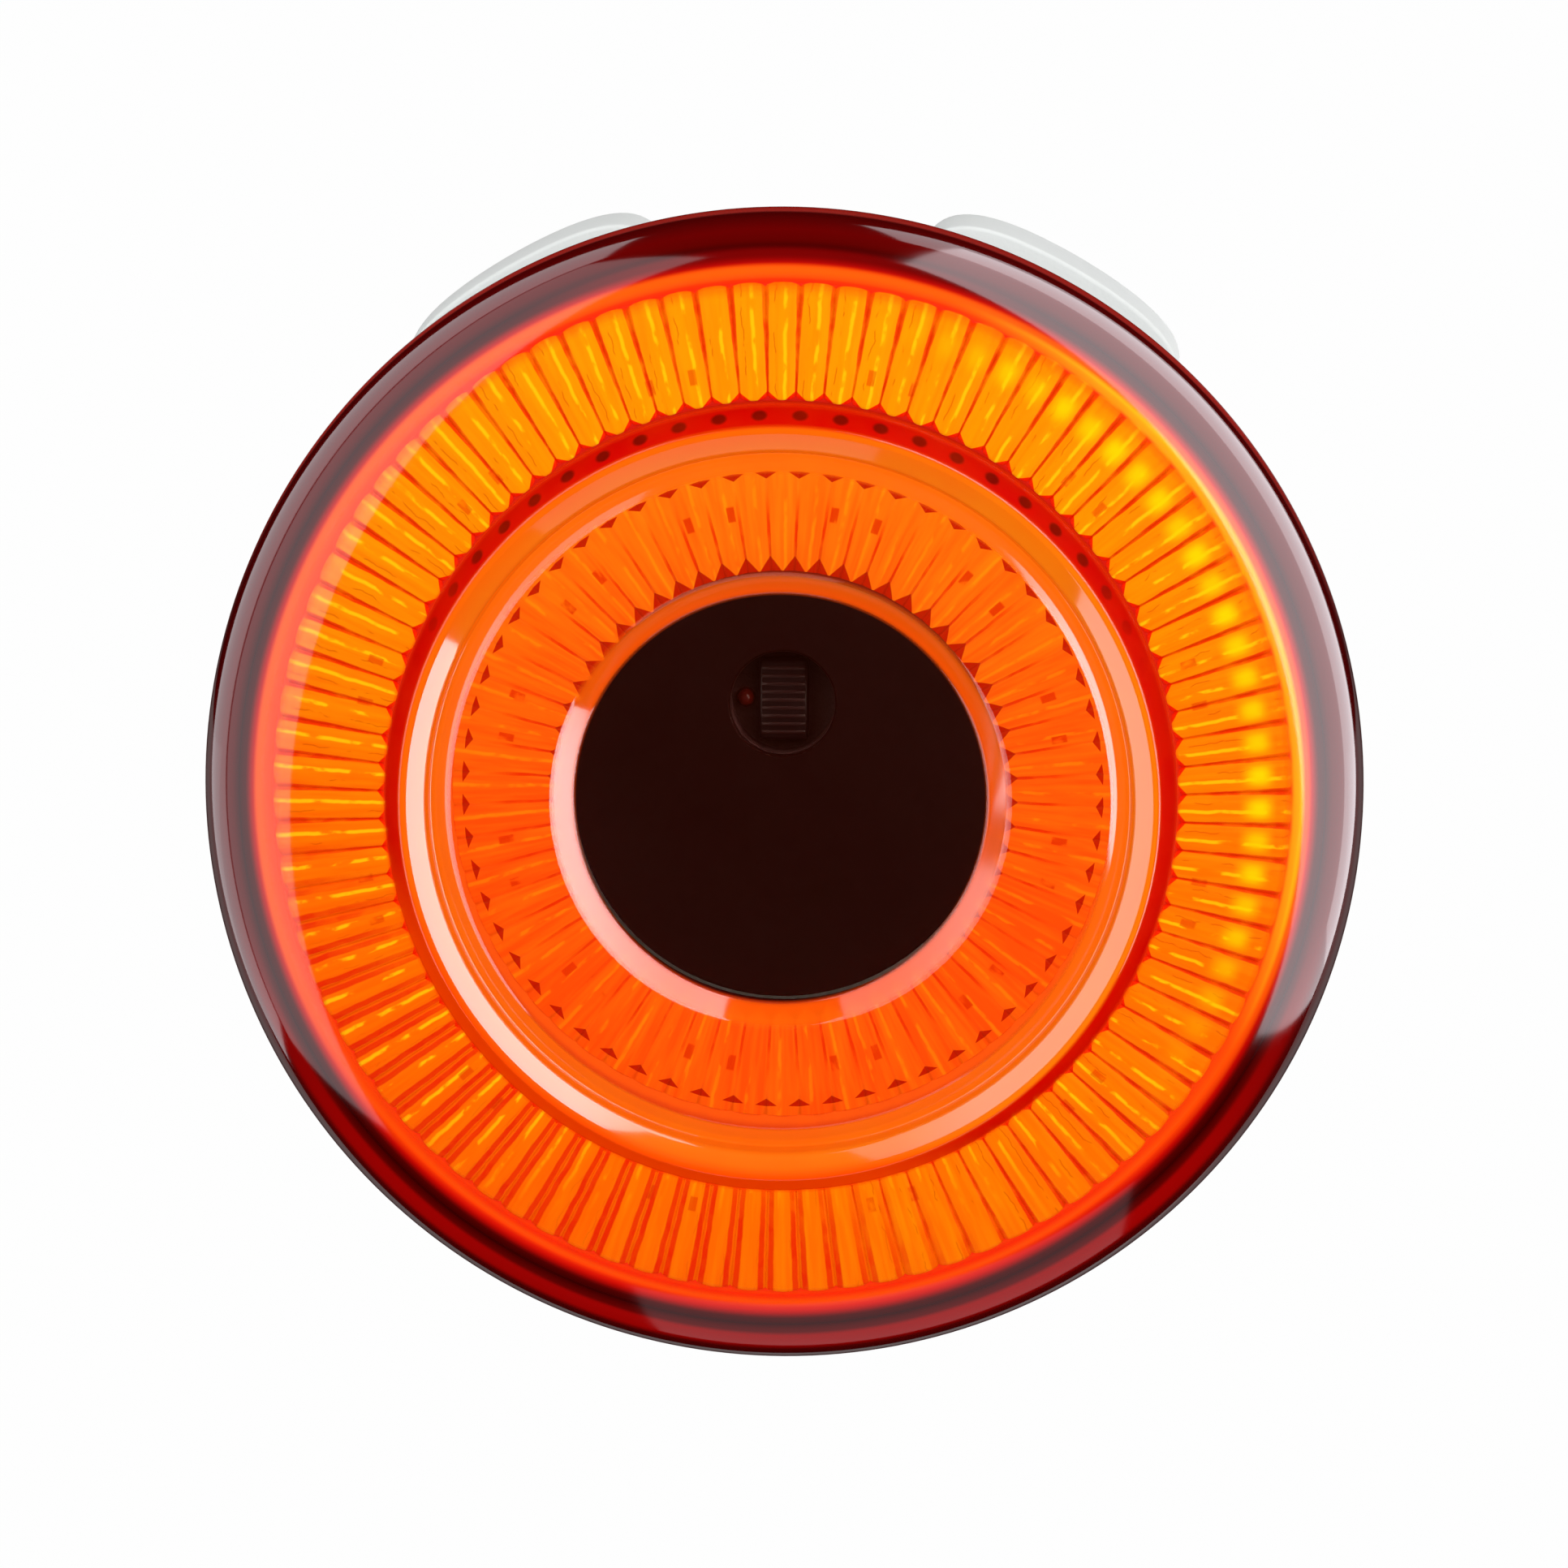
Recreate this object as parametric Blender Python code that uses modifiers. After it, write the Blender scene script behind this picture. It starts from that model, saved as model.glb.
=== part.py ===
"""Round rechargeable LED warning light on a quarter-turn strap bracket.

Sizes are in millimetres, and meshes are written in metres. Every piece is modelled in the lamp's own
frame: Z runs along the optical axis towards the viewer, Y points to twelve o'clock and X to the right.
An empty turns that frame so that the lens looks along -Y and twelve o'clock is up. The back face of
the grip pad is at the origin, and the pieces are stacked forward from it.
"""

import math

import bmesh
import bpy
from mathutils import Matrix, Vector

MM = 0.001
OBJECT_NAME = "round_warning_light"

# Clearances
SEAT_GAP = 0.2
FIT_GAP = 0.2
RUN_GAP = 0.25
PRESS_SPARE = 0.05
PLUG_GAP = 0.35
PEG_GAP = 0.2
SEAL_GAP = 0.08
SENSOR_GAP = 0.125
COVER_GAP = 0.5
CELL_SIDE_GAP = 0.3
CELL_END_GAP = 1.2
CHIP_GAP = 1.0

# Lens
LENS_RADIUS = 20.0
SKIRT_WALL = 1.6
LENS_WALL = 0.9
RIM_HEIGHT = 0.8
SHOULDER_WIDTH = 2.6
SHOULDER_HEIGHT = 2.3
CONE_RISE = 1.1
LIP_RADIUS = 13.2
LIP_ROUND = 0.35
LIP_HEIGHT = 1.9
LIP_SLOPE = 0.75
LIP_DRAFT = 0.45
GROOVE_WIDTH = 0.35
GROOVE_DEPTH = 0.9
PLATEAU_RISE = 1.3
PLATEAU_EDGE = 0.75
WINDOW_RADIUS = 7.1
WELL_SLOPE = 0.9

# Fluted diffuser
DIFFUSER_WALL = 0.6
DIFFUSER_FLANGE = 0.95
FLUTE_HEIGHT = 0.3
FLUTE_END = 0.25
OUTER_FLUTES = 90
INNER_FLUTES = 60
FLUTE_MARGIN = 0.7
LAND_STEP = 0.45

# Sensor window
MASK_THICKNESS = 0.3
MASK_OVERLAP = 0.1
APERTURE_RISE = 3.0
SHROUD_WALL = 0.7
SENSOR_SIZE = (1.7, 2.8, 0.8)
CHARGE_LED_RADIUS = 0.35
CHARGE_LED_HEIGHT = 0.5

# Circuit board and what is soldered to it
BOARD_THICKNESS = 1.0
BOARD_HEADROOM = 0.4
LED_COUNT = 12
LED_SIZE = (1.6, 0.8, 0.6)
LED_BASE = 0.35
LED_INSET = 0.12
LED_EDGE = 2.2
CHIP_SIZE = (3.6, 3.6, 0.9)
SWITCH_SIZE = (6.0, 3.5, 3.4)
PLUNGER_SIZE = (2.8, 1.0, 1.4)
PLUNGER_SUNK = 0.7
PLUNGER_TRAVEL = 0.25
USB_SIZE = (8.94, 7.3, 3.2)
USB_CORNER = 1.2
USB_WALL = 0.3
USB_BACK = 1.0
USB_TONGUE = (6.6, 4.6, 0.7)

# Battery
CELL_THICKNESS = 3.2
CELL_CORNER = 1.0
TAPE_MARGIN = 2.5
TAPE_THICKNESS = 0.4
LEAD_RADIUS = 0.45
LEAD_SPREAD = 1.4
LEAD_REACH = 1.9
LEAD_RISE = 1.4

# Rear case
CASE_WALL = 1.6
CASE_FLOOR = 1.3
CASE_ROUND = 2.0
SPIGOT_WALL = 1.2
SPIGOT_HEIGHT = 1.3
SEAL_RADIUS = 0.32
POST_RADIUS = 1.75
SCREW_RADIUS = 0.75
SCREW_LENGTH = 3.4
SCREW_HEAD_RADIUS = 1.4
SCREW_HEAD_HEIGHT = 0.6
SCREW_SLOT = (1.8, 0.4, 0.35)
PILOT_GAP = 0.15

# Push button
BUTTON_SIZE = (7.0, 3.2)
BUTTON_CORNER = 1.4
BUTTON_PROUD = 0.6
BUTTON_TRAVEL = 0.5
BUTTON_WING = 0.9
WING_THICKNESS = 0.8
STEM_SIZE = (2.6, 0.6, 1.4)

# Charging port cover
COVER_HALF_ANGLE = 16.0
COVER_THICKNESS = 0.8
COVER_CORNER = 1.0
COVER_PLUG = (8.0, 2.2)
COVER_PLUG_DEPTH = 1.3
TAB_GAP = 0.4
ANCHOR_WIDTH = 1.7
ANCHOR_PEG_RADIUS = 0.7
ANCHOR_PEG_LENGTH = 1.0

# Strap bracket with its quarter-turn lock
PAD_RADIUS = 13.0
PAD_THICKNESS = 1.4
PAD_ROUND = 0.4
PAD_GROOVE_COUNT = 8
PAD_GROOVE_PITCH = 3.0
PAD_GROOVE_WIDTH = 0.9
PAD_GROOVE_DEPTH = 0.5
BRACKET_RADIUS = 15.4
BRACKET_FLOOR = 1.0
BRACKET_LIP = 1.2
EAR_TIP_RADIUS = 19.9
EAR_ANGLE = 29.4
EAR_HALF_ANGLE = 14.3
EAR_SQUARENESS = 5.0
STRAP_GROOVE_INSET = 1.4
STRAP_GROOVE_WIDTH = 2.3
STRAP_GROOVE_DEPTH = 1.3
BOSS_RADIUS = 6.0
LUG_REACH = 2.0
LUG_WIDTH = 5.0
LUG_THICKNESS = 0.9

# Mesh fineness
TURN_STEPS = 56
SMALL_STEPS = 16
ARC_POINTS = 4
CORNER_SEGMENTS = 3
COVER_CUTS = 9
EAR_POINTS = 15
SEAL_SIDES = 6
SHARP_ANGLE = 35.0

# Heights along the optical axis, from the back face forward
BRACKET_BACK = PAD_THICKNESS + SEAT_GAP
SOCKET_FLOOR = BRACKET_BACK + BRACKET_FLOOR
LUG_BOTTOM = SOCKET_FLOOR + RUN_GAP
LUG_TOP = LUG_BOTTOM + LUG_THICKNESS
SOCKET_TOP = LUG_TOP + RUN_GAP
BRACKET_FRONT = SOCKET_TOP + BRACKET_LIP
CASE_BACK = BRACKET_FRONT + RUN_GAP
FLOOR_TOP = CASE_BACK + CASE_FLOOR
TAPE_BOTTOM = FLOOR_TOP + SEAT_GAP
BATTERY_BOTTOM = TAPE_BOTTOM + TAPE_THICKNESS + SEAT_GAP
BATTERY_TOP = BATTERY_BOTTOM + CELL_THICKNESS
BUTTON_SPACE = max(SWITCH_SIZE[2], BUTTON_SIZE[1])
SIDE_SPACE = max(BUTTON_SPACE, USB_SIZE[2]) + 2 * SEAT_GAP
BOARD_BOTTOM = max(BATTERY_TOP + BOARD_HEADROOM, FLOOR_TOP + SIDE_SPACE)
BOARD_TOP = BOARD_BOTTOM + BOARD_THICKNESS
UNDER_BOARD = BOARD_BOTTOM - SEAT_GAP
ON_BOARD = BOARD_TOP + SEAT_GAP
SPIGOT_TOP = ON_BOARD + max(SCREW_HEAD_HEIGHT, LED_SIZE[2])
LEDGE = SPIGOT_TOP - SPIGOT_HEIGHT
SKIRT_BOTTOM = LEDGE + SEAT_GAP
RIM_TOP = SKIRT_BOTTOM + RIM_HEIGHT
CONE_OUTER = RIM_TOP + SHOULDER_HEIGHT
CONE_INNER = CONE_OUTER + CONE_RISE
LIP_TOP = CONE_INNER + LIP_HEIGHT
GROOVE_FLOOR = CONE_INNER - GROOVE_DEPTH
PLATEAU = GROOVE_FLOOR + PLATEAU_RISE
WINDOW_BACK = GROOVE_FLOOR - LENS_WALL
DIFFUSER_BOTTOM = SPIGOT_TOP + SEAT_GAP
DIFFUSER_LAND = WINDOW_BACK - SEAT_GAP - FLUTE_HEIGHT
MASK_TOP = WINDOW_BACK - SEAT_GAP
MASK_BOTTOM = MASK_TOP - MASK_THICKNESS

# Radii from the lens inward
SKIRT_INNER = LENS_RADIUS - SKIRT_WALL
SPIGOT_RADIUS = SKIRT_INNER - FIT_GAP
CASE_INNER = SPIGOT_RADIUS - SPIGOT_WALL
CASE_RADIUS = CASE_INNER + CASE_WALL
BOARD_RADIUS = CASE_INNER - FIT_GAP
CONE_START = LENS_RADIUS - SHOULDER_WIDTH
LIP_FOOT = LIP_RADIUS + LIP_DRAFT
LIP_CENTRE = LIP_RADIUS - LIP_ROUND
GROOVE_OUTER = LIP_CENTRE - LIP_SLOPE
GROOVE_INNER = GROOVE_OUTER - GROOVE_WIDTH
PLATEAU_OUTER = GROOVE_INNER - PLATEAU_EDGE
PLATEAU_INNER = WINDOW_RADIUS + WELL_SLOPE
MASK_RADIUS = WINDOW_RADIUS + MASK_OVERLAP
CHARGE_LED_OFFSET = SENSOR_SIZE[0] / 2 + SENSOR_GAP + CHARGE_LED_RADIUS
SENSOR_REACH = math.hypot(SENSOR_SIZE[0], SENSOR_SIZE[1]) / 2
APERTURE_RADIUS = max(SENSOR_REACH, CHARGE_LED_OFFSET + CHARGE_LED_RADIUS) + SENSOR_GAP
DIFFUSER_HOLE = MASK_RADIUS + FIT_GAP
DIFFUSER_RADIUS = SKIRT_INNER - FIT_GAP
INNER_FLUTES_START = WINDOW_RADIUS + FLUTE_MARGIN
INNER_FLUTES_END = PLATEAU_OUTER
OUTER_FLUTES_START = LIP_FOOT + FIT_GAP
OUTER_FLUTES_END = DIFFUSER_RADIUS - DIFFUSER_FLANGE
INNER_LED_RADIUS = (INNER_FLUTES_START + INNER_FLUTES_END) / 2
OUTER_LED_RADIUS = BOARD_RADIUS - LED_EDGE
LED_STEP = 360 / LED_COUNT
POST_ANGLE = 2 * LED_STEP
POST_RING = CASE_INNER - POST_RADIUS - FIT_GAP
SEAL_GROOVE_HEIGHT = 2 * (SEAL_RADIUS + SEAL_GAP)
SEAL_CENTRE = SKIRT_INNER - SEAL_GAP - SEAL_RADIUS
SEAL_GROOVE_RADIUS = SEAL_CENTRE - SEAL_RADIUS - SEAL_GAP
LUG_RADIUS = BOSS_RADIUS + LUG_REACH
LUG_CORNER = math.hypot(LUG_RADIUS, LUG_WIDTH / 2)

# Push button and its switch, outward along twelve o'clock
BUTTON_HEIGHT = UNDER_BOARD - BUTTON_SPACE / 2
WING_HALF_WIDTH = BUTTON_SIZE[0] / 2 + BUTTON_WING
WING_OUTER = math.sqrt(CASE_INNER**2 - WING_HALF_WIDTH**2) - FIT_GAP
WING_INNER = WING_OUTER - WING_THICKNESS
STEM_END = WING_INNER - STEM_SIZE[1]
PRESS_GAP = BUTTON_TRAVEL - PLUNGER_TRAVEL + PRESS_SPARE
PLUNGER_TIP = STEM_END - PRESS_GAP
SWITCH_FACE = PLUNGER_TIP - PLUNGER_SIZE[1]
SWITCH_INNER = SWITCH_FACE - SWITCH_SIZE[1]
BUTTON_FACE = CASE_RADIUS + BUTTON_PROUD

# Charging port and its cover, outward along six o'clock
USB_MOUTH = math.sqrt(CASE_INNER**2 - (USB_SIZE[0] / 2) ** 2) - FIT_GAP
USB_INNER = USB_MOUTH - USB_SIZE[1]
USB_HEIGHT = UNDER_BOARD - USB_SIZE[2] / 2
COVER_HEIGHT = 2 * (SKIRT_BOTTOM - COVER_GAP - USB_HEIGHT)
COVER_INNER = CASE_RADIUS + SEAT_GAP
COVER_RADIUS = COVER_INNER + COVER_THICKNESS / 2
HINGE_ANGLE = COVER_HALF_ANGLE + math.degrees(TAB_GAP / COVER_RADIUS)
TAB_SWEEP = math.hypot(TAB_GAP, COVER_THICKNESS / 2) + RUN_GAP
ANCHOR_START = HINGE_ANGLE + math.degrees(TAB_SWEEP / COVER_RADIUS)
ANCHOR_END = ANCHOR_START + math.degrees(ANCHOR_WIDTH / COVER_RADIUS)
ANCHOR_MIDDLE = (ANCHOR_START + ANCHOR_END) / 2

# Battery in the room between the posts, the switch and the charging socket
POST_ACROSS = POST_RING * math.sin(math.radians(POST_ANGLE))
CELL_WIDTH = 2 * (POST_ACROSS - POST_RADIUS - CELL_SIDE_GAP)
CELL_LENGTH = SWITCH_INNER + USB_INNER - 2 * CELL_END_GAP
CELL_Y = (SWITCH_INNER - USB_INNER) / 2
CELL_SIZE = (CELL_WIDTH, CELL_LENGTH, CELL_THICKNESS)
TAPE_SIZE = (CELL_WIDTH - 2 * TAPE_MARGIN, CELL_LENGTH - 2 * TAPE_MARGIN, TAPE_THICKNESS)


class Bench:
    """The collections and frames that every piece is put into."""

    def __init__(self):
        for old in list(bpy.data.objects):
            bpy.data.objects.remove(old)
        self.parts = self.collection(OBJECT_NAME)
        self.cutters = self.collection("cutters")
        self.bracket = self.frame("bracket_frame", None)
        self.bracket.rotation_euler = (math.pi / 2, 0.0, 0.0)
        self.lamp = self.frame("lamp_frame", self.bracket)

    def collection(self, name):
        """A new collection in the scene."""
        made = bpy.data.collections.new(name)
        bpy.context.scene.collection.children.link(made)
        return made

    def frame(self, name, parent):
        """An empty that carries the pieces of one moving group."""
        empty = bpy.data.objects.new(name, None)
        self.parts.objects.link(empty)
        empty.parent = parent
        return empty

    def piece(self, name, data, finish, parent, location=(0.0, 0.0, 0.0)):
        """A named object of the part, at a place in its parent's frame."""
        data.materials.append(finish)
        made = bpy.data.objects.new(name, data)
        self.parts.objects.link(made)
        made.parent = parent
        made.location = Vector(location) * MM
        return made

    def copy(self, name, mesh, parent, location, turn=0.0):
        """One more object of a shared mesh, turned about Z."""
        made = bpy.data.objects.new(name, mesh)
        self.parts.objects.link(made)
        made.parent = parent
        made.location = Vector(location) * MM
        made.rotation_euler = (0.0, 0.0, turn)

    def cutter(self, name, mesh, parent, location=(0.0, 0.0, 0.0)):
        """A hidden object that cuts or joins another."""
        made = bpy.data.objects.new(name, mesh)
        self.cutters.objects.link(made)
        made.parent = parent
        made.location = Vector(location) * MM
        made.hide_render = True
        made.display_type = "WIRE"
        return made


def finish(name, colour, roughness, metallic=0.0, transmission=0.0):
    """A Principled material."""
    made = bpy.data.materials.new(name)
    made.use_nodes = True
    shader = made.node_tree.nodes["Principled BSDF"]
    shader.inputs["Base Color"].default_value = (*colour, 1.0)
    shader.inputs["Roughness"].default_value = roughness
    shader.inputs["Metallic"].default_value = metallic
    shader.inputs["Transmission Weight"].default_value = transmission
    return made


def round_arc(centre, width, height, start, end, points=ARC_POINTS):
    """Profile points on an ellipse about a centre, from one angle to another, measured from its top."""
    turn = [math.radians(start + (end - start) * i / (points - 1)) for i in range(points)]
    return [(centre[0] + width * math.sin(t), centre[1] + height * math.cos(t)) for t in turn]


def screw_profile(piece, steps):
    """Turn an object's profile round Z with a Screw modifier."""
    screw = piece.modifiers.new("turn", "SCREW")
    screw.axis = "Z"
    screw.angle = math.tau
    screw.steps = steps
    screw.render_steps = steps
    screw.use_merge_vertices = True
    screw.merge_threshold = MM / 1000
    return piece


def profile_mesh(name, profile, closed=False):
    """A mesh of edges along a profile of (radius, height) points, listed down its outer side."""
    mesh = bpy.data.meshes.new(name)
    edges = [(i, i + 1) for i in range(len(profile) - 1)]
    if closed:
        edges.append((len(profile) - 1, 0))
    mesh.from_pydata([(r * MM, 0.0, z * MM) for r, z in profile], edges, [])
    return mesh


def turned(bench, name, profile, material, parent, closed=False, steps=TURN_STEPS, location=(0.0, 0.0, 0.0)):
    """A turned piece of the part."""
    piece = bench.piece(name, profile_mesh(name, profile, closed), material, parent, location)
    return screw_profile(piece, steps)


def box_bmesh(size, corner=0.0, along=2, segments=CORNER_SEGMENTS):
    """A box about its own middle, with its four edges along one axis rounded."""
    box = bmesh.new()
    bmesh.ops.create_cube(box, size=1.0)
    bmesh.ops.scale(box, vec=Vector(size) * MM, verts=box.verts)
    if corner:
        edges = [e for e in box.edges if abs((e.verts[0].co - e.verts[1].co).normalized()[along]) > 0.9]
        bmesh.ops.bevel(box, geom=edges, offset=corner * MM, segments=segments, profile=0.5, affect="EDGES")
    return box


def rod_bmesh(radius, length, steps=SMALL_STEPS):
    """A cylinder along Z about its own middle."""
    rod = bmesh.new()
    bmesh.ops.create_cone(
        rod, cap_ends=True, segments=steps, radius1=radius * MM, radius2=radius * MM, depth=length * MM
    )
    return rod


def as_mesh(name, shape, matrix=None):
    """A mesh from a bmesh, which is freed."""
    if matrix is not None:
        shape.transform(matrix)
    mesh = bpy.data.meshes.new(name)
    shape.to_mesh(mesh)
    shape.free()
    return mesh


def gathered(name, shapes):
    """One mesh of several separate shapes, each given as a bmesh and its matrix."""
    whole = bmesh.new()
    for shape, matrix in shapes:
        single = as_mesh(name, shape, matrix)
        whole.from_mesh(single)
        bpy.data.meshes.remove(single)
    return as_mesh(name, whole)


def shift(x, y, z):
    """A translation in millimetres."""
    return Matrix.Translation(Vector((x, y, z)) * MM)


def combine(piece, cutter, operation):
    """Add a Boolean modifier to a piece."""
    modifier = piece.modifiers.new(cutter.name, "BOOLEAN")
    modifier.operation = operation
    modifier.object = cutter


def settled_mesh(piece):
    """A plain mesh of a piece as its modifiers leave it."""
    bpy.context.view_layer.update()
    evaluated = piece.evaluated_get(bpy.context.evaluated_depsgraph_get())
    return bpy.data.meshes.new_from_object(evaluated)


def settle(piece):
    """Apply a piece's modifiers."""
    mesh = settled_mesh(piece)
    piece.modifiers.clear()
    piece.data = mesh
    return piece


def clock(radius, degrees):
    """A point on a clock face, with degrees clockwise from twelve o'clock as seen from the front."""
    angle = math.radians(degrees)
    return radius * math.sin(angle), radius * math.cos(angle)


def cone_height(radius):
    """Height of the lens's conical front face at a radius."""
    share = (CONE_START - radius) / (CONE_START - LIP_FOOT)
    return CONE_OUTER + CONE_RISE * share


def diffuser_height(radius):
    """Height of the valleys between the outer flutes at a radius."""
    return cone_height(radius) - LENS_WALL - SEAT_GAP - FLUTE_HEIGHT


def post_places():
    """Places of the four board posts on the case floor."""
    angles = (POST_ANGLE, 180 - POST_ANGLE, 180 + POST_ANGLE, 360 - POST_ANGLE)
    return [clock(POST_RING, angle) for angle in angles]


def lens_profile():
    """The lens's section: its stepped front from the window outward, then its inside."""
    skirt_top = cone_height(DIFFUSER_RADIUS) - LENS_WALL
    plateau_back = PLATEAU - LENS_WALL
    lip_back = LIP_FOOT - FIT_GAP
    return [
        (0.0, GROOVE_FLOOR),
        *round_arc((PLATEAU_INNER, GROOVE_FLOOR), WELL_SLOPE, PLATEAU_RISE, -90, 0),
        *round_arc((PLATEAU_OUTER, GROOVE_FLOOR), PLATEAU_EDGE, PLATEAU_RISE, 0, 90),
        *round_arc((LIP_CENTRE, GROOVE_FLOOR), LIP_SLOPE, LIP_TOP - GROOVE_FLOOR, -90, 0),
        *round_arc((LIP_CENTRE, LIP_TOP - LIP_ROUND), LIP_ROUND, LIP_ROUND, 0, 90)[1:],
        (LIP_FOOT, CONE_INNER),
        *round_arc((CONE_START, RIM_TOP), SHOULDER_WIDTH, SHOULDER_HEIGHT, 0, 90),
        (LENS_RADIUS, SKIRT_BOTTOM),
        (SKIRT_INNER, SKIRT_BOTTOM),
        (SKIRT_INNER, skirt_top),
        (CONE_START, cone_height(CONE_START) - LENS_WALL),
        (lip_back, cone_height(lip_back) - LENS_WALL),
        (lip_back - FIT_GAP, WINDOW_BACK),
        (PLATEAU_OUTER + FLUTE_END, WINDOW_BACK),
        (PLATEAU_OUTER, plateau_back),
        (PLATEAU_INNER + LENS_WALL, plateau_back),
        (PLATEAU_INNER + LENS_WALL - FLUTE_END, WINDOW_BACK),
        (0.0, WINDOW_BACK),
    ]


def flute_rise(x, y, flutes):
    """Share of the flute height at a place, from nought in a valley to one on a crest."""
    return abs(math.cos(flutes * math.atan2(x, y) / 2))


def build_lens(bench):
    """The stepped front lens."""
    material = finish("clear_orange_lens", (0.95, 0.16, 0.01), 0.05, transmission=0.9)
    turned(bench, "front_lens", lens_profile(), material, bench.lamp)


def build_diffuser(bench):
    """The diffuser disc under the lens, with a flat inner ring and a conical outer ring of flutes."""
    step_foot = OUTER_FLUTES_START - LAND_STEP
    flange_top = diffuser_height(OUTER_FLUTES_END)
    profile = [
        (DIFFUSER_HOLE, DIFFUSER_LAND),
        (INNER_FLUTES_START, DIFFUSER_LAND),
        (INNER_FLUTES_START + FLUTE_END, DIFFUSER_LAND),
        (INNER_FLUTES_END - FLUTE_END, DIFFUSER_LAND),
        (INNER_FLUTES_END, DIFFUSER_LAND),
        (step_foot, DIFFUSER_LAND),
        (OUTER_FLUTES_START, diffuser_height(OUTER_FLUTES_START)),
        (OUTER_FLUTES_START + FLUTE_END, diffuser_height(OUTER_FLUTES_START + FLUTE_END)),
        (OUTER_FLUTES_END - FLUTE_END, diffuser_height(OUTER_FLUTES_END - FLUTE_END)),
        (OUTER_FLUTES_END, flange_top),
        (DIFFUSER_RADIUS, flange_top),
        (DIFFUSER_RADIUS, DIFFUSER_BOTTOM),
        (OUTER_FLUTES_END, DIFFUSER_BOTTOM),
        (step_foot, DIFFUSER_LAND - DIFFUSER_WALL),
        (DIFFUSER_HOLE, DIFFUSER_LAND - DIFFUSER_WALL),
    ]
    material = finish("orange_diffuser", (1.0, 0.3, 0.02), 0.35, transmission=0.3)
    steps = 2 * OUTER_FLUTES
    disc = settle(turned(bench, "fluted_diffuser", profile, material, bench.lamp, closed=True, steps=steps))
    half_end = FLUTE_END / 2
    for vertex in disc.data.vertices:
        x, y, z = vertex.co / MM
        radius = math.hypot(x, y)
        if z < DIFFUSER_LAND - DIFFUSER_WALL / 2:
            continue
        if INNER_FLUTES_START + half_end < radius < INNER_FLUTES_END - half_end:
            vertex.co.z += FLUTE_HEIGHT * MM * flute_rise(x, y, INNER_FLUTES)
        elif OUTER_FLUTES_START + half_end < radius < OUTER_FLUTES_END - half_end:
            vertex.co.z += FLUTE_HEIGHT * MM * flute_rise(x, y, OUTER_FLUTES)


def build_sensor(bench):
    """The dark mask under the lens window, with the light sensor, its shroud and the charge LED."""
    mask_profile = [(0.0, MASK_TOP), (MASK_RADIUS, MASK_TOP), (MASK_RADIUS, MASK_BOTTOM), (0.0, MASK_BOTTOM)]
    black = finish("black_film", (0.012, 0.002, 0.002), 0.3)
    mask = turned(bench, "sensor_mask", mask_profile, black, bench.lamp)
    middle = (MASK_TOP + MASK_BOTTOM) / 2
    hole = as_mesh("aperture_cutter", rod_bmesh(APERTURE_RADIUS, 3 * MASK_THICKNESS, TURN_STEPS // 2))
    combine(mask, bench.cutter("aperture_cutter", hole, bench.lamp, (0, APERTURE_RISE, middle)), "DIFFERENCE")

    shroud_top = MASK_BOTTOM - SEAT_GAP
    shroud_radius = APERTURE_RADIUS + SHROUD_WALL
    shroud_profile = [
        (APERTURE_RADIUS, shroud_top),
        (shroud_radius, shroud_top),
        (shroud_radius, ON_BOARD),
        (APERTURE_RADIUS, ON_BOARD),
    ]
    rubber = finish("black_foam", (0.015, 0.015, 0.016), 0.9)
    place = (0, APERTURE_RISE, 0)
    turned(bench, "sensor_shroud", shroud_profile, rubber, bench.lamp, True, TURN_STEPS // 2, place)

    chip = finish("sensor_resin", (0.02, 0.015, 0.015), 0.25)
    place = (0, APERTURE_RISE, ON_BOARD + SENSOR_SIZE[2] / 2)
    bench.piece("light_sensor", as_mesh("light_sensor", box_bmesh(SENSOR_SIZE)), chip, bench.lamp, place)

    red = finish("red_resin", (0.6, 0.05, 0.03), 0.2)
    dome = [
        *round_arc((0.0, ON_BOARD), CHARGE_LED_RADIUS, CHARGE_LED_HEIGHT, 0, 90),
        (0.0, ON_BOARD),
    ]
    place = (-CHARGE_LED_OFFSET, APERTURE_RISE, 0)
    turned(bench, "charge_led", dome, red, bench.lamp, steps=SMALL_STEPS, location=place)


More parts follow.
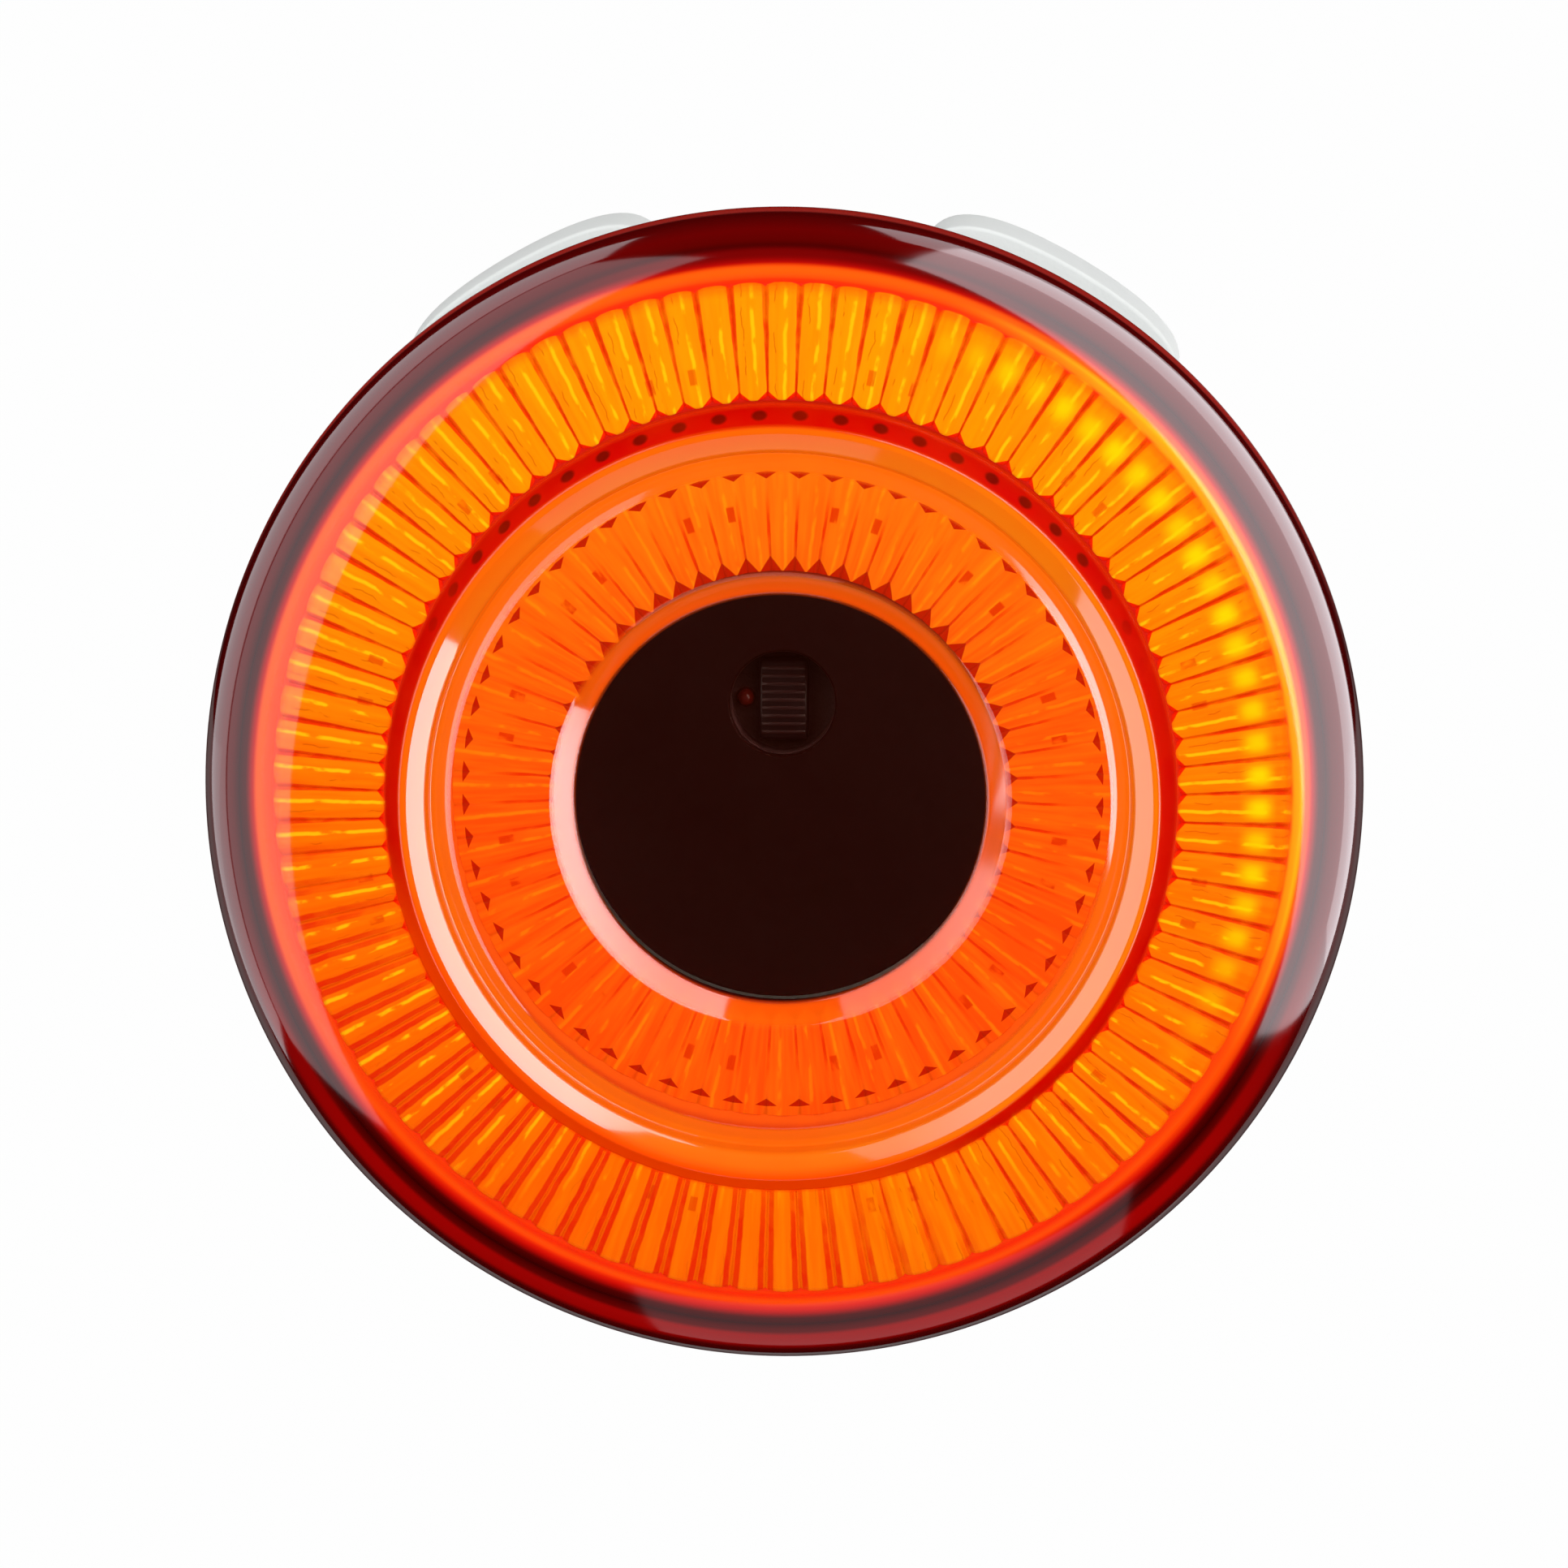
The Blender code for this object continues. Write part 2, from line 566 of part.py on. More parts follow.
def build_board(bench):
    """The round circuit board with its screw holes, and the four screws."""
    profile = [(0.0, BOARD_TOP), (BOARD_RADIUS, BOARD_TOP), (BOARD_RADIUS, BOARD_BOTTOM), (0.0, BOARD_BOTTOM)]
    white = finish("white_solder_mask", (0.82, 0.82, 0.8), 0.45)
    board = turned(bench, "led_board", profile, white, bench.lamp)
    middle = (BOARD_TOP + BOARD_BOTTOM) / 2
    hole_radius = SCREW_RADIUS + FIT_GAP
    holes = [(rod_bmesh(hole_radius, 3 * BOARD_THICKNESS), shift(x, y, middle)) for x, y in post_places()]
    cutter = bench.cutter("board_hole_cutter", gathered("board_hole_cutter", holes), bench.lamp)
    combine(board, cutter, "DIFFERENCE")

    steel = finish("screw_steel", (0.55, 0.55, 0.56), 0.35, metallic=1.0)
    head_top = ON_BOARD + SCREW_HEAD_HEIGHT
    screw_section = [
        (0.0, head_top),
        (SCREW_HEAD_RADIUS, head_top),
        (SCREW_HEAD_RADIUS, ON_BOARD),
        (SCREW_RADIUS, ON_BOARD),
        (SCREW_RADIUS, ON_BOARD - SCREW_LENGTH),
        (0.0, ON_BOARD - SCREW_LENGTH),
    ]
    long_side, short_side, depth = SCREW_SLOT
    level = box_bmesh((long_side, short_side, 2 * depth))
    upright = box_bmesh((short_side, long_side, 2 * depth))
    at_head = (0, 0, head_top)
    cross = bench.cutter("level_slot_cutter", as_mesh("level_slot", level), bench.lamp, at_head)
    other = bench.cutter("upright_slot_cutter", as_mesh("upright_slot", upright), bench.lamp, at_head)
    pattern = bench.cutter("screw_pattern", profile_mesh("screw_pattern", screw_section), bench.lamp)
    screw_profile(pattern, SMALL_STEPS)
    combine(pattern, cross, "DIFFERENCE")
    combine(pattern, other, "DIFFERENCE")
    shared = settled_mesh(pattern)
    shared.materials.append(steel)
    for number, (x, y) in enumerate(post_places(), 1):
        bench.copy(f"board_screw_{number}", shared, bench.lamp, (x, y, 0))


def led_mesh():
    """A chip LED: a flat base with a sloped window on top."""
    length, width, height = LED_SIZE
    shape = box_bmesh((length, width, LED_BASE))
    top = max(shape.faces, key=lambda face: face.calc_center_median().z)
    bmesh.ops.inset_region(shape, faces=[top], thickness=LED_INSET * MM)
    bmesh.ops.translate(shape, vec=(0, 0, (height - LED_BASE) * MM), verts=top.verts)
    return as_mesh("chip_led", shape, shift(0, 0, LED_BASE / 2))


def build_leds(bench):
    """Two rings of chip LEDs, each LED lying along its ring."""
    shared = led_mesh()
    shared.materials.append(finish("led_resin", (0.95, 0.75, 0.35), 0.3))
    for ring, radius in (("inner", INNER_LED_RADIUS), ("outer", OUTER_LED_RADIUS)):
        for number in range(LED_COUNT):
            degrees = LED_STEP * (number + 0.5)
            place = (*clock(radius, degrees), ON_BOARD)
            bench.copy(f"led_{ring}_{number + 1:02d}", shared, bench.lamp, place, -math.radians(degrees))


def build_switch(bench):
    """The side-push switch under the board, and its plunger."""
    middle = (0, SWITCH_FACE - SWITCH_SIZE[1] / 2, BUTTON_HEIGHT)
    black = finish("switch_nylon", (0.03, 0.03, 0.032), 0.5)
    block = as_mesh("switch_body", box_bmesh(SWITCH_SIZE))
    body = bench.piece("switch_body", block, black, bench.lamp, middle)
    slot_depth = PLUNGER_SUNK + PLUNGER_TRAVEL + RUN_GAP
    slot_size = (PLUNGER_SIZE[0] + 2 * RUN_GAP, 2 * slot_depth, PLUNGER_SIZE[2] + 2 * RUN_GAP)
    slot = as_mesh("plunger_slot", box_bmesh(slot_size))
    face = (0, SWITCH_FACE, BUTTON_HEIGHT)
    combine(body, bench.cutter("plunger_slot_cutter", slot, bench.lamp, face), "DIFFERENCE")

    white = finish("plunger_nylon", (0.75, 0.74, 0.7), 0.45)
    length = PLUNGER_SIZE[1] + PLUNGER_SUNK
    shape = box_bmesh((PLUNGER_SIZE[0], length, PLUNGER_SIZE[2]))
    mesh = as_mesh("switch_plunger", shape, shift(0, -length / 2, 0))
    bench.piece("switch_plunger", mesh, white, bench.lamp, (0, PLUNGER_TIP, BUTTON_HEIGHT))


def build_usb(bench):
    """The charging socket under the board, with its mouth at six o'clock."""
    width, depth, height = USB_SIZE
    middle = (0, -(USB_MOUTH - depth / 2), USB_HEIGHT)
    steel = finish("socket_steel", (0.62, 0.62, 0.63), 0.3, metallic=1.0)
    shell = as_mesh("usb_socket", box_bmesh(USB_SIZE, USB_CORNER, along=1))
    socket = bench.piece("usb_socket", shell, steel, bench.lamp, middle)
    cavity_depth = depth - USB_BACK
    cavity = box_bmesh(
        (width - 2 * USB_WALL, 2 * cavity_depth, height - 2 * USB_WALL), USB_CORNER - USB_WALL, along=1
    )
    mouth = (0, -USB_MOUTH, USB_HEIGHT)
    cutter = bench.cutter("usb_cavity_cutter", as_mesh("usb_cavity_cutter", cavity), bench.lamp, mouth)
    combine(socket, cutter, "DIFFERENCE")
    tongue_middle = -USB_INNER - USB_BACK / 2 - USB_TONGUE[1] / 2
    tongue = bench.cutter(
        "usb_tongue", as_mesh("usb_tongue", box_bmesh(USB_TONGUE)), bench.lamp, (0, tongue_middle, USB_HEIGHT)
    )
    combine(socket, tongue, "UNION")


def build_battery(bench):
    """The pouch cell on its foam tape, its two leads, and the control chip beside it."""
    silver = finish("pouch_foil", (0.6, 0.61, 0.63), 0.35, metallic=0.8)
    middle = (0, CELL_Y, (BATTERY_BOTTOM + BATTERY_TOP) / 2)
    cell = box_bmesh(CELL_SIZE, CELL_CORNER, along=1)
    bench.piece("battery_cell", as_mesh("battery_cell", cell), silver, bench.lamp, middle)

    foam = finish("foam_tape", (0.7, 0.68, 0.62), 0.9)
    middle = (0, CELL_Y, TAPE_BOTTOM + TAPE_SIZE[2] / 2)
    bench.piece("battery_tape", as_mesh("battery_tape", box_bmesh(TAPE_SIZE)), foam, bench.lamp, middle)

    black = finish("chip_epoxy", (0.02, 0.02, 0.022), 0.4)
    middle = (CELL_WIDTH / 2 + CHIP_GAP + CHIP_SIZE[0] / 2, 0, UNDER_BOARD - CHIP_SIZE[2] / 2)
    bench.piece("control_chip", as_mesh("control_chip", box_bmesh(CHIP_SIZE)), black, bench.lamp, middle)

    for name, side, colour in (
        ("battery_lead_red", 1, (0.6, 0.02, 0.02)),
        ("battery_lead_black", -1, (0.02, 0.02, 0.02)),
    ):
        start = (-CELL_SIZE[0] / 2 - SEAT_GAP, CELL_Y + side * LEAD_SPREAD, UNDER_BOARD - LEAD_RISE)
        bench.piece(name, lead_curve(name), finish(f"{name}_jacket", colour, 0.5), bench.lamp, start)


def lead_curve(name):
    """A short lead that leaves the cell level and turns up to the board."""
    curve = bpy.data.curves.new(name, "CURVE")
    curve.dimensions = "3D"
    curve.bevel_depth = LEAD_RADIUS * MM
    curve.bevel_resolution = 2
    curve.use_fill_caps = True
    points = round_arc((0.0, LEAD_RISE), -LEAD_REACH, -LEAD_RISE, 0, 90, 2 * ARC_POINTS)
    spline = curve.splines.new("POLY")
    spline.points.add(len(points) - 1)
    for point, (x, z) in zip(spline.points, points):
        point.co = (x * MM, 0.0, z * MM, 1.0)
    return curve


def build_case(bench):
    """The rear case: a cup with a seal spigot, board posts, a lock boss and holes for button and port."""
    seal_middle = (SPIGOT_TOP + LEDGE) / 2
    boss_end = (LUG_BOTTOM + LUG_TOP) / 2
    profile = [
        (0.0, FLOOR_TOP),
        (CASE_INNER, FLOOR_TOP),
        (CASE_INNER, SPIGOT_TOP),
        (SPIGOT_RADIUS, SPIGOT_TOP),
        (SPIGOT_RADIUS, seal_middle + SEAL_GROOVE_HEIGHT / 2),
        (SEAL_GROOVE_RADIUS, seal_middle + SEAL_GROOVE_HEIGHT / 2),
        (SEAL_GROOVE_RADIUS, seal_middle - SEAL_GROOVE_HEIGHT / 2),
        (SPIGOT_RADIUS, seal_middle - SEAL_GROOVE_HEIGHT / 2),
        (SPIGOT_RADIUS, LEDGE),
        (CASE_RADIUS, LEDGE),
        *round_arc((CASE_RADIUS - CASE_ROUND, CASE_BACK + CASE_ROUND), CASE_ROUND, CASE_ROUND, 90, 180),
        (BOSS_RADIUS, CASE_BACK),
        (BOSS_RADIUS, boss_end),
        (0.0, boss_end),
    ]
    black = finish("black_case_plastic", (0.02, 0.02, 0.021), 0.5)
    case = turned(bench, "rear_case", profile, black, bench.lamp)

    lugs = as_mesh("lock_lugs", box_bmesh((2 * LUG_RADIUS, LUG_WIDTH, LUG_THICKNESS)))
    combine(case, bench.cutter("lock_lugs", lugs, bench.lamp, (0, 0, boss_end)), "UNION")

    root = FLOOR_TOP - CASE_FLOOR / 2
    post_length = UNDER_BOARD - root
    post_middle = (UNDER_BOARD + root) / 2
    posts = [(rod_bmesh(POST_RADIUS, post_length), shift(x, y, post_middle)) for x, y in post_places()]
    combine(case, bench.cutter("board_posts", gathered("board_posts", posts), bench.lamp), "UNION")

    pilot_end = ON_BOARD - SCREW_LENGTH - PILOT_GAP
    pilot_length = 2 * (UNDER_BOARD - pilot_end)
    pilot_radius = SCREW_RADIUS + PILOT_GAP
    pilots = [(rod_bmesh(pilot_radius, pilot_length), shift(x, y, UNDER_BOARD)) for x, y in post_places()]
    combine(case, bench.cutter("pilot_cutter", gathered("pilot_cutter", pilots), bench.lamp), "DIFFERENCE")

    wall_middle = (CASE_INNER + CASE_RADIUS) / 2
    through = 3 * CASE_WALL
    button_hole = (BUTTON_SIZE[0] + 2 * FIT_GAP, through, BUTTON_SIZE[1] + 2 * FIT_GAP)
    port_hole = (COVER_PLUG[0] + 2 * PLUG_GAP, through, COVER_PLUG[1] + 2 * PLUG_GAP)
    peg_hole = rod_bmesh(ANCHOR_PEG_RADIUS + PEG_GAP, 2 * (ANCHOR_PEG_LENGTH + PEG_GAP))
    openings = [
        (box_bmesh(button_hole, BUTTON_CORNER + FIT_GAP, along=1), shift(0, wall_middle, BUTTON_HEIGHT)),
        (box_bmesh(port_hole), shift(0, -wall_middle, USB_HEIGHT)),
        (peg_hole, peg_matrix(CASE_RADIUS)),
    ]
    combine(case, bench.cutter("wall_cutter", gathered("wall_cutter", openings), bench.lamp), "DIFFERENCE")

    ring = round_arc((SEAL_CENTRE, seal_middle), SEAL_RADIUS, SEAL_RADIUS, 0, 360, SEAL_SIDES + 1)[:-1]
    rubber = finish("seal_rubber", (0.03, 0.03, 0.03), 0.7)
    turned(bench, "seal_ring", ring, rubber, bench.lamp, closed=True)


def peg_matrix(radius):
    """Place a rod's middle on the wall at the cover's anchor, along the wall's normal."""
    x, y = clock(radius, 180 - ANCHOR_MIDDLE)
    turn = Matrix.Rotation(math.radians(ANCHOR_MIDDLE), 4, "Z") @ Matrix.Rotation(math.pi / 2, 4, "X")
    return shift(x, y, USB_HEIGHT) @ turn


def build_button(bench):
    """The push button: a cap through the case wall, with wings that hold it in and a stem to the switch."""
    rubber = finish("button_rubber", (0.045, 0.045, 0.047), 0.75)
    cap_root = (WING_INNER + WING_OUTER) / 2
    cap_length = BUTTON_FACE - cap_root
    origin = Vector((0, BUTTON_FACE, BUTTON_HEIGHT))
    cap = box_bmesh((BUTTON_SIZE[0], cap_length, BUTTON_SIZE[1]), BUTTON_CORNER, along=1)
    mesh = as_mesh("power_button", cap, shift(0, -cap_length / 2, 0))
    button = bench.piece("power_button", mesh, rubber, bench.lamp, origin)
    wing_size = (2 * WING_HALF_WIDTH, WING_THICKNESS, BUTTON_SIZE[1] - FIT_GAP)
    wings = as_mesh("button_wings", box_bmesh(wing_size))
    combine(button, bench.cutter("button_wings", wings, bench.lamp, (0, cap_root, BUTTON_HEIGHT)), "UNION")
    stem = as_mesh("button_stem", box_bmesh((STEM_SIZE[0], cap_root - STEM_END, STEM_SIZE[2])))
    stem_middle = (0, (cap_root + STEM_END) / 2, BUTTON_HEIGHT)
    combine(button, bench.cutter("button_stem", stem, bench.lamp, stem_middle), "UNION")


def bent_plate(start, end, corner, cuts):
    """A plate of the cover's section bent round the case, between two angles from six o'clock."""
    middle = math.radians((start + end) / 2)
    length = COVER_RADIUS * math.radians(end - start)
    plate = box_bmesh((length, COVER_THICKNESS, COVER_HEIGHT), corner, along=1)
    for cut in range(1, cuts + 1):
        place = Vector((length * (cut / (cuts + 1) - 0.5) * MM, 0, 0))
        geometry = plate.verts[:] + plate.edges[:] + plate.faces[:]
        bmesh.ops.bisect_plane(plate, geom=geometry, plane_co=place, plane_no=(1, 0, 0), dist=MM / 1000)
    for vertex in plate.verts:
        angle = middle + vertex.co.x / (COVER_RADIUS * MM)
        radius = COVER_RADIUS * MM - vertex.co.y
        vertex.co.x = radius * math.sin(angle)
        vertex.co.y = -radius * math.cos(angle)
    return plate


def build_port_cover(bench):
    """The port cover, which swings about its tab, and the anchor that holds the tab to the case."""
    rubber = finish("cover_rubber", (0.04, 0.04, 0.042), 0.7)
    hinge_x, hinge_y = clock(COVER_RADIUS, 180 - HINGE_ANGLE)
    plate = bent_plate(-COVER_HALF_ANGLE, COVER_HALF_ANGLE, COVER_CORNER, COVER_CUTS)
    mesh = as_mesh("port_cover", plate, shift(-hinge_x, -hinge_y, 0))
    cover = bench.piece("port_cover", mesh, rubber, bench.lamp, (hinge_x, hinge_y, USB_HEIGHT))
    plug_root = COVER_RADIUS
    plug_tip = CASE_RADIUS - COVER_PLUG_DEPTH
    plug = box_bmesh((COVER_PLUG[0], plug_root - plug_tip, COVER_PLUG[1]))
    plug_middle = (0, -(plug_root + plug_tip) / 2, USB_HEIGHT)
    combine(cover, bench.cutter("cover_plug", as_mesh("cover_plug", plug), bench.lamp, plug_middle), "UNION")

    tab = bent_plate(ANCHOR_START, ANCHOR_END, 0.0, 1)
    anchor = bench.piece("cover_anchor", as_mesh("cover_anchor", tab), rubber, bench.lamp, (0, 0, USB_HEIGHT))
    peg_end = CASE_RADIUS - ANCHOR_PEG_LENGTH
    peg = rod_bmesh(ANCHOR_PEG_RADIUS, COVER_RADIUS - peg_end)
    peg_mesh = as_mesh("anchor_peg", peg, peg_matrix((COVER_RADIUS + peg_end) / 2))
    combine(anchor, bench.cutter("anchor_peg", peg_mesh, bench.lamp), "UNION")


def ear_points(centre):
    """Outline points of one ear about its middle angle: a bump with a flat tip and rounded corners."""
    points = []
    for index in range(EAR_POINTS):
        turn = math.pi * index / (EAR_POINTS - 1)
        across = -math.copysign(abs(math.cos(turn)) ** (2 / EAR_SQUARENESS), math.cos(turn))
        reach = max(math.sin(turn), 0.0) ** (2 / EAR_SQUARENESS)
        radius = BRACKET_RADIUS + (EAR_TIP_RADIUS - BRACKET_RADIUS) * reach
        points.append(clock(radius, centre + EAR_HALF_ANGLE * across))
    return points


def bracket_outline():
    """Outline points of the bracket: a disc with four ears."""
    centres = [EAR_ANGLE, 180 - EAR_ANGLE, 180 + EAR_ANGLE, 360 - EAR_ANGLE]
    points = []
    for centre, following in zip(centres, [*centres[1:], centres[0] + 360]):
        points += ear_points(centre)
        start = centre + EAR_HALF_ANGLE
        free = following - EAR_HALF_ANGLE - start
        steps = max(2, round(free * TURN_STEPS / 360))
        points += [clock(BRACKET_RADIUS, start + free * index / steps) for index in range(1, steps)]
    return points


def build_bracket(bench):
    """The strap bracket: four ears, a groove behind them for the strap, and the socket of the lock."""
    grey = finish("pale_grey_plastic", (0.78, 0.8, 0.79), 0.45)
    curve = bpy.data.curves.new("bracket_outline", "CURVE")
    curve.dimensions = "2D"
    curve.fill_mode = "BOTH"
    curve.extrude = (BRACKET_FRONT - BRACKET_BACK) / 2 * MM
    points = bracket_outline()
    spline = curve.splines.new("POLY")
    spline.points.add(len(points) - 1)
    for point, (x, y) in zip(spline.points, points):
        point.co = (x * MM, y * MM, 0.0, 1.0)
    spline.use_cyclic_u = True
    outline = bpy.data.objects.new("bracket_outline", curve)
    bench.cutters.objects.link(outline)
    mesh = settled_mesh(outline)
    bpy.data.objects.remove(outline)
    plate = bmesh.new()
    plate.from_mesh(mesh)
    bpy.data.meshes.remove(mesh)
    bmesh.ops.remove_doubles(plate, verts=plate.verts, dist=MM / 1000)
    bmesh.ops.recalc_face_normals(plate, faces=plate.faces)
    middle = (0, 0, (BRACKET_BACK + BRACKET_FRONT) / 2)
    bracket = bench.piece("strap_bracket", as_mesh("strap_bracket", plate), grey, bench.bracket, middle)

    groove_outer = EAR_TIP_RADIUS - STRAP_GROOVE_INSET
    groove_inner = groove_outer - STRAP_GROOVE_WIDTH
    groove_front = BRACKET_BACK + STRAP_GROOVE_DEPTH
    groove_back = BRACKET_BACK - STRAP_GROOVE_DEPTH
    groove = [
        *round_arc(
            ((groove_inner + groove_outer) / 2, groove_front - STRAP_GROOVE_DEPTH / 2),
            STRAP_GROOVE_WIDTH / 2, STRAP_GROOVE_DEPTH / 2, -90, 90,
        ),
        (groove_outer, groove_back),
        (groove_inner, groove_back),
    ]
    ring = profile_mesh("strap_groove_cutter", groove, closed=True)
    combine(
        bracket,
        screw_profile(bench.cutter("strap_groove_cutter", ring, bench.bracket), TURN_STEPS),
        "DIFFERENCE",
    )

    socket_radius = LUG_CORNER + RUN_GAP
    bore = BOSS_RADIUS + RUN_GAP
    beyond = BRACKET_FRONT + BRACKET_LIP
    socket = [
        (0.0, beyond),
        (bore, beyond),
        (bore, SOCKET_TOP),
        (socket_radius, SOCKET_TOP),
        (socket_radius, SOCKET_FLOOR),
        (0.0, SOCKET_FLOOR),
    ]
    cavity = bench.cutter("lock_socket_cutter", profile_mesh("lock_socket_cutter", socket), bench.bracket)
    combine(bracket, screw_profile(cavity, TURN_STEPS), "DIFFERENCE")
    entry_size = (LUG_WIDTH + 2 * RUN_GAP, 2 * socket_radius, beyond - LUG_TOP)
    entry = as_mesh("lock_entry_cutter", box_bmesh(entry_size))
    entry_middle = (0, 0, (beyond + LUG_TOP) / 2)
    combine(bracket, bench.cutter("lock_entry_cutter", entry, bench.bracket, entry_middle), "DIFFERENCE")


def build_pad(bench):
    """The grip pad on the back of the bracket, with level grooves in its back face."""
    rubber = finish("pad_rubber", (0.03, 0.03, 0.031), 0.85)
    profile = [
        (0.0, PAD_THICKNESS),
        (PAD_RADIUS, PAD_THICKNESS),
        *round_arc((PAD_RADIUS - PAD_ROUND, PAD_ROUND), PAD_ROUND, PAD_ROUND, 90, 180, 3),
        (0.0, 0.0),
    ]
    pad = turned(bench, "grip_pad", profile, rubber, bench.bracket)
    grooves = []
    for number in range(PAD_GROOVE_COUNT):
        y = PAD_GROOVE_PITCH * (number - (PAD_GROOVE_COUNT - 1) / 2)
        size = (2 * (PAD_RADIUS + PAD_ROUND), PAD_GROOVE_WIDTH, 2 * PAD_GROOVE_DEPTH)
        grooves.append((box_bmesh(size), shift(0, y, 0)))
    cutter = bench.cutter("pad_groove_cutter", gathered("pad_groove_cutter", grooves), bench.bracket)
    combine(pad, cutter, "DIFFERENCE")


def shade_smooth(bench):
    """Apply every piece's modifiers, and shade its round faces smooth."""
    for piece in bench.parts.objects:
        if piece.type != "MESH":
            continue
        if piece.modifiers:
            settle(piece)
        piece.data.shade_smooth()
        piece.data.set_sharp_from_angle(angle=math.radians(SHARP_ANGLE))


def main():
    """Build the whole light."""
    bench = Bench()
    build_pad(bench)
    build_bracket(bench)
    build_case(bench)
    build_button(bench)
    build_port_cover(bench)
    build_battery(bench)
    build_board(bench)
    build_leds(bench)
    build_switch(bench)
    build_usb(bench)
    build_sensor(bench)
    build_diffuser(bench)
    build_lens(bench)
    shade_smooth(bench)


main()
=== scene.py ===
"""Looks of a round rechargeable warning light.

It has a stepped orange lens, fluted rings, a black case and a pale strap bracket. Sizes are millimetres in
the lamp's own frame: X to the viewer's right, Y to twelve o'clock and Z out of the lens, measured from the
back of the grip pad. LAMP_TO_WORLD turns a finished shape into the frame's metres.
"""

from __future__ import annotations

import logging
import math
from dataclasses import dataclass
from enum import Enum
from functools import cached_property
from typing import Any, Callable, Sequence

import bmesh
import bpy
from mathutils import Matrix, Vector


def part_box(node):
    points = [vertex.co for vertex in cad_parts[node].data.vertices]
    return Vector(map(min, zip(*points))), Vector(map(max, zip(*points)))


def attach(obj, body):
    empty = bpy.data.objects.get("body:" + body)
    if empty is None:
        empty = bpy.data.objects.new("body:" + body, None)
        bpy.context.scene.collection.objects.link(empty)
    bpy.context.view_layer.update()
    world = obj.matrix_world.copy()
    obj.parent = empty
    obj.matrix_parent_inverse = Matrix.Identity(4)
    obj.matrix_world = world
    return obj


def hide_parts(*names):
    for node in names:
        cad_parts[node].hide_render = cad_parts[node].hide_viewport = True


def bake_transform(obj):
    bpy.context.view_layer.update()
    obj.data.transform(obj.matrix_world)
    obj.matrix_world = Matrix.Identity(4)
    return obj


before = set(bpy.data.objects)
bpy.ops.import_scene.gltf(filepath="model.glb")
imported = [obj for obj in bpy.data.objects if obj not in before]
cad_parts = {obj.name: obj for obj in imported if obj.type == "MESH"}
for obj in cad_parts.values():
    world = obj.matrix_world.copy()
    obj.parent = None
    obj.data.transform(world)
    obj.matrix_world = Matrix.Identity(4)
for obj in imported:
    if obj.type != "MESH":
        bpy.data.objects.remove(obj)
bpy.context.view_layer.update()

log = logging.getLogger("warning_light")

MM = 0.001
LAMP_TO_WORLD = Matrix.Rotation(math.pi / 2, 4, "X") @ Matrix.Scale(MM, 4)
ON_AXIS = 1e-6
SAME_PLACE = 1e-4
FINE_STEPS = 256
SMALL_STEPS = 48
ARC_POINTS = 12

Shape = bmesh.types.BMesh
Material = bpy.types.Material
Socket = bpy.types.NodeSocket
Point = tuple[float, float]
Place = tuple[float, float, float]
Colour = tuple[float, float, float]
Stop = tuple[float, Colour]
Band = tuple[float, float, float, float]


class Axis(Enum):
    """Directions of the lamp's own frame, as a world axis and a sign."""

    ACROSS = (0, 1.0)
    UP = (2, 1.0)
    OUT = (1, -1.0)


class Layout(Enum):
    """How a Geometry Nodes tree sets out its copies."""

    RING = "ring"
    ROW = "row"


class Body(Enum):
    """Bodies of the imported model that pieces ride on."""

    BRACKET = "bracket"
    LAMP = "lamp"
    BUTTON = "button"
    COVER = "cover"


class Lighting(Enum):
    """Which rays of light see a lamp."""

    SHADES = "shades"
    SHINES = "shines"


def span(node: str, axis: Axis) -> Point:
    """Lowest and highest place of a CAD node along a lamp axis.

    Args:
        node: name of the CAD node.
        axis: direction in the lamp's frame.

    Returns:
        The two places in millimetres.
    """
    index, sign = axis.value
    ends = sorted(sign * corner[index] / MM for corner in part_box(node))
    return ends[0], ends[1]


def tone(red: float, green: float, blue: float) -> Colour:
    """A linear colour, as Blender needs it, from the 0 to 255 scale of a screen."""
    shares = (red / 255, green / 255, blue / 255)
    return tuple(s / 12.92 if s <= 0.04045 else ((s + 0.055) / 1.055) ** 2.4 for s in shares)


def clock(radius: float, degrees: float) -> Point:
    """A point on the lamp's face, with degrees clockwise from twelve o'clock."""
    angle = math.radians(degrees)
    return radius * math.sin(angle), radius * math.cos(angle)


def arc(
    centre: Point, width: float, height: float, start: float, end: float, points: int = ARC_POINTS
) -> list[Point]:
    """Points on an ellipse of half a width and height, with angles in degrees from its top."""
    turns = [math.radians(start + (end - start) * i / (points - 1)) for i in range(points)]
    return [(centre[0] + width * math.sin(t), centre[1] + height * math.cos(t)) for t in turns]


def rounded(corners: Sequence[Place], points: int = 6) -> list[Point]:
    """A path through corners that are each rounded by a short curve.

    Args:
        corners: places with the reach of each corner's round as the third number.
        points: points on each round.

    Returns:
        The path, with its first and last corner kept sharp.
    """
    path = [corners[0][:2]]
    for before, corner, after in zip(corners, corners[1:], corners[2:]):
        here = Vector(corner[:2])
        if corner[2] <= 0:
            path.append(tuple(here))
            continue
        back = (Vector(before[:2]) - here).normalized() * corner[2] + here
        ahead = (Vector(after[:2]) - here).normalized() * corner[2] + here
        for i in range(points):
            share = i / (points - 1)
            path.append(tuple(back.lerp(here, share).lerp(here.lerp(ahead, share), share)))
    path.append(corners[-1][:2])
    return path


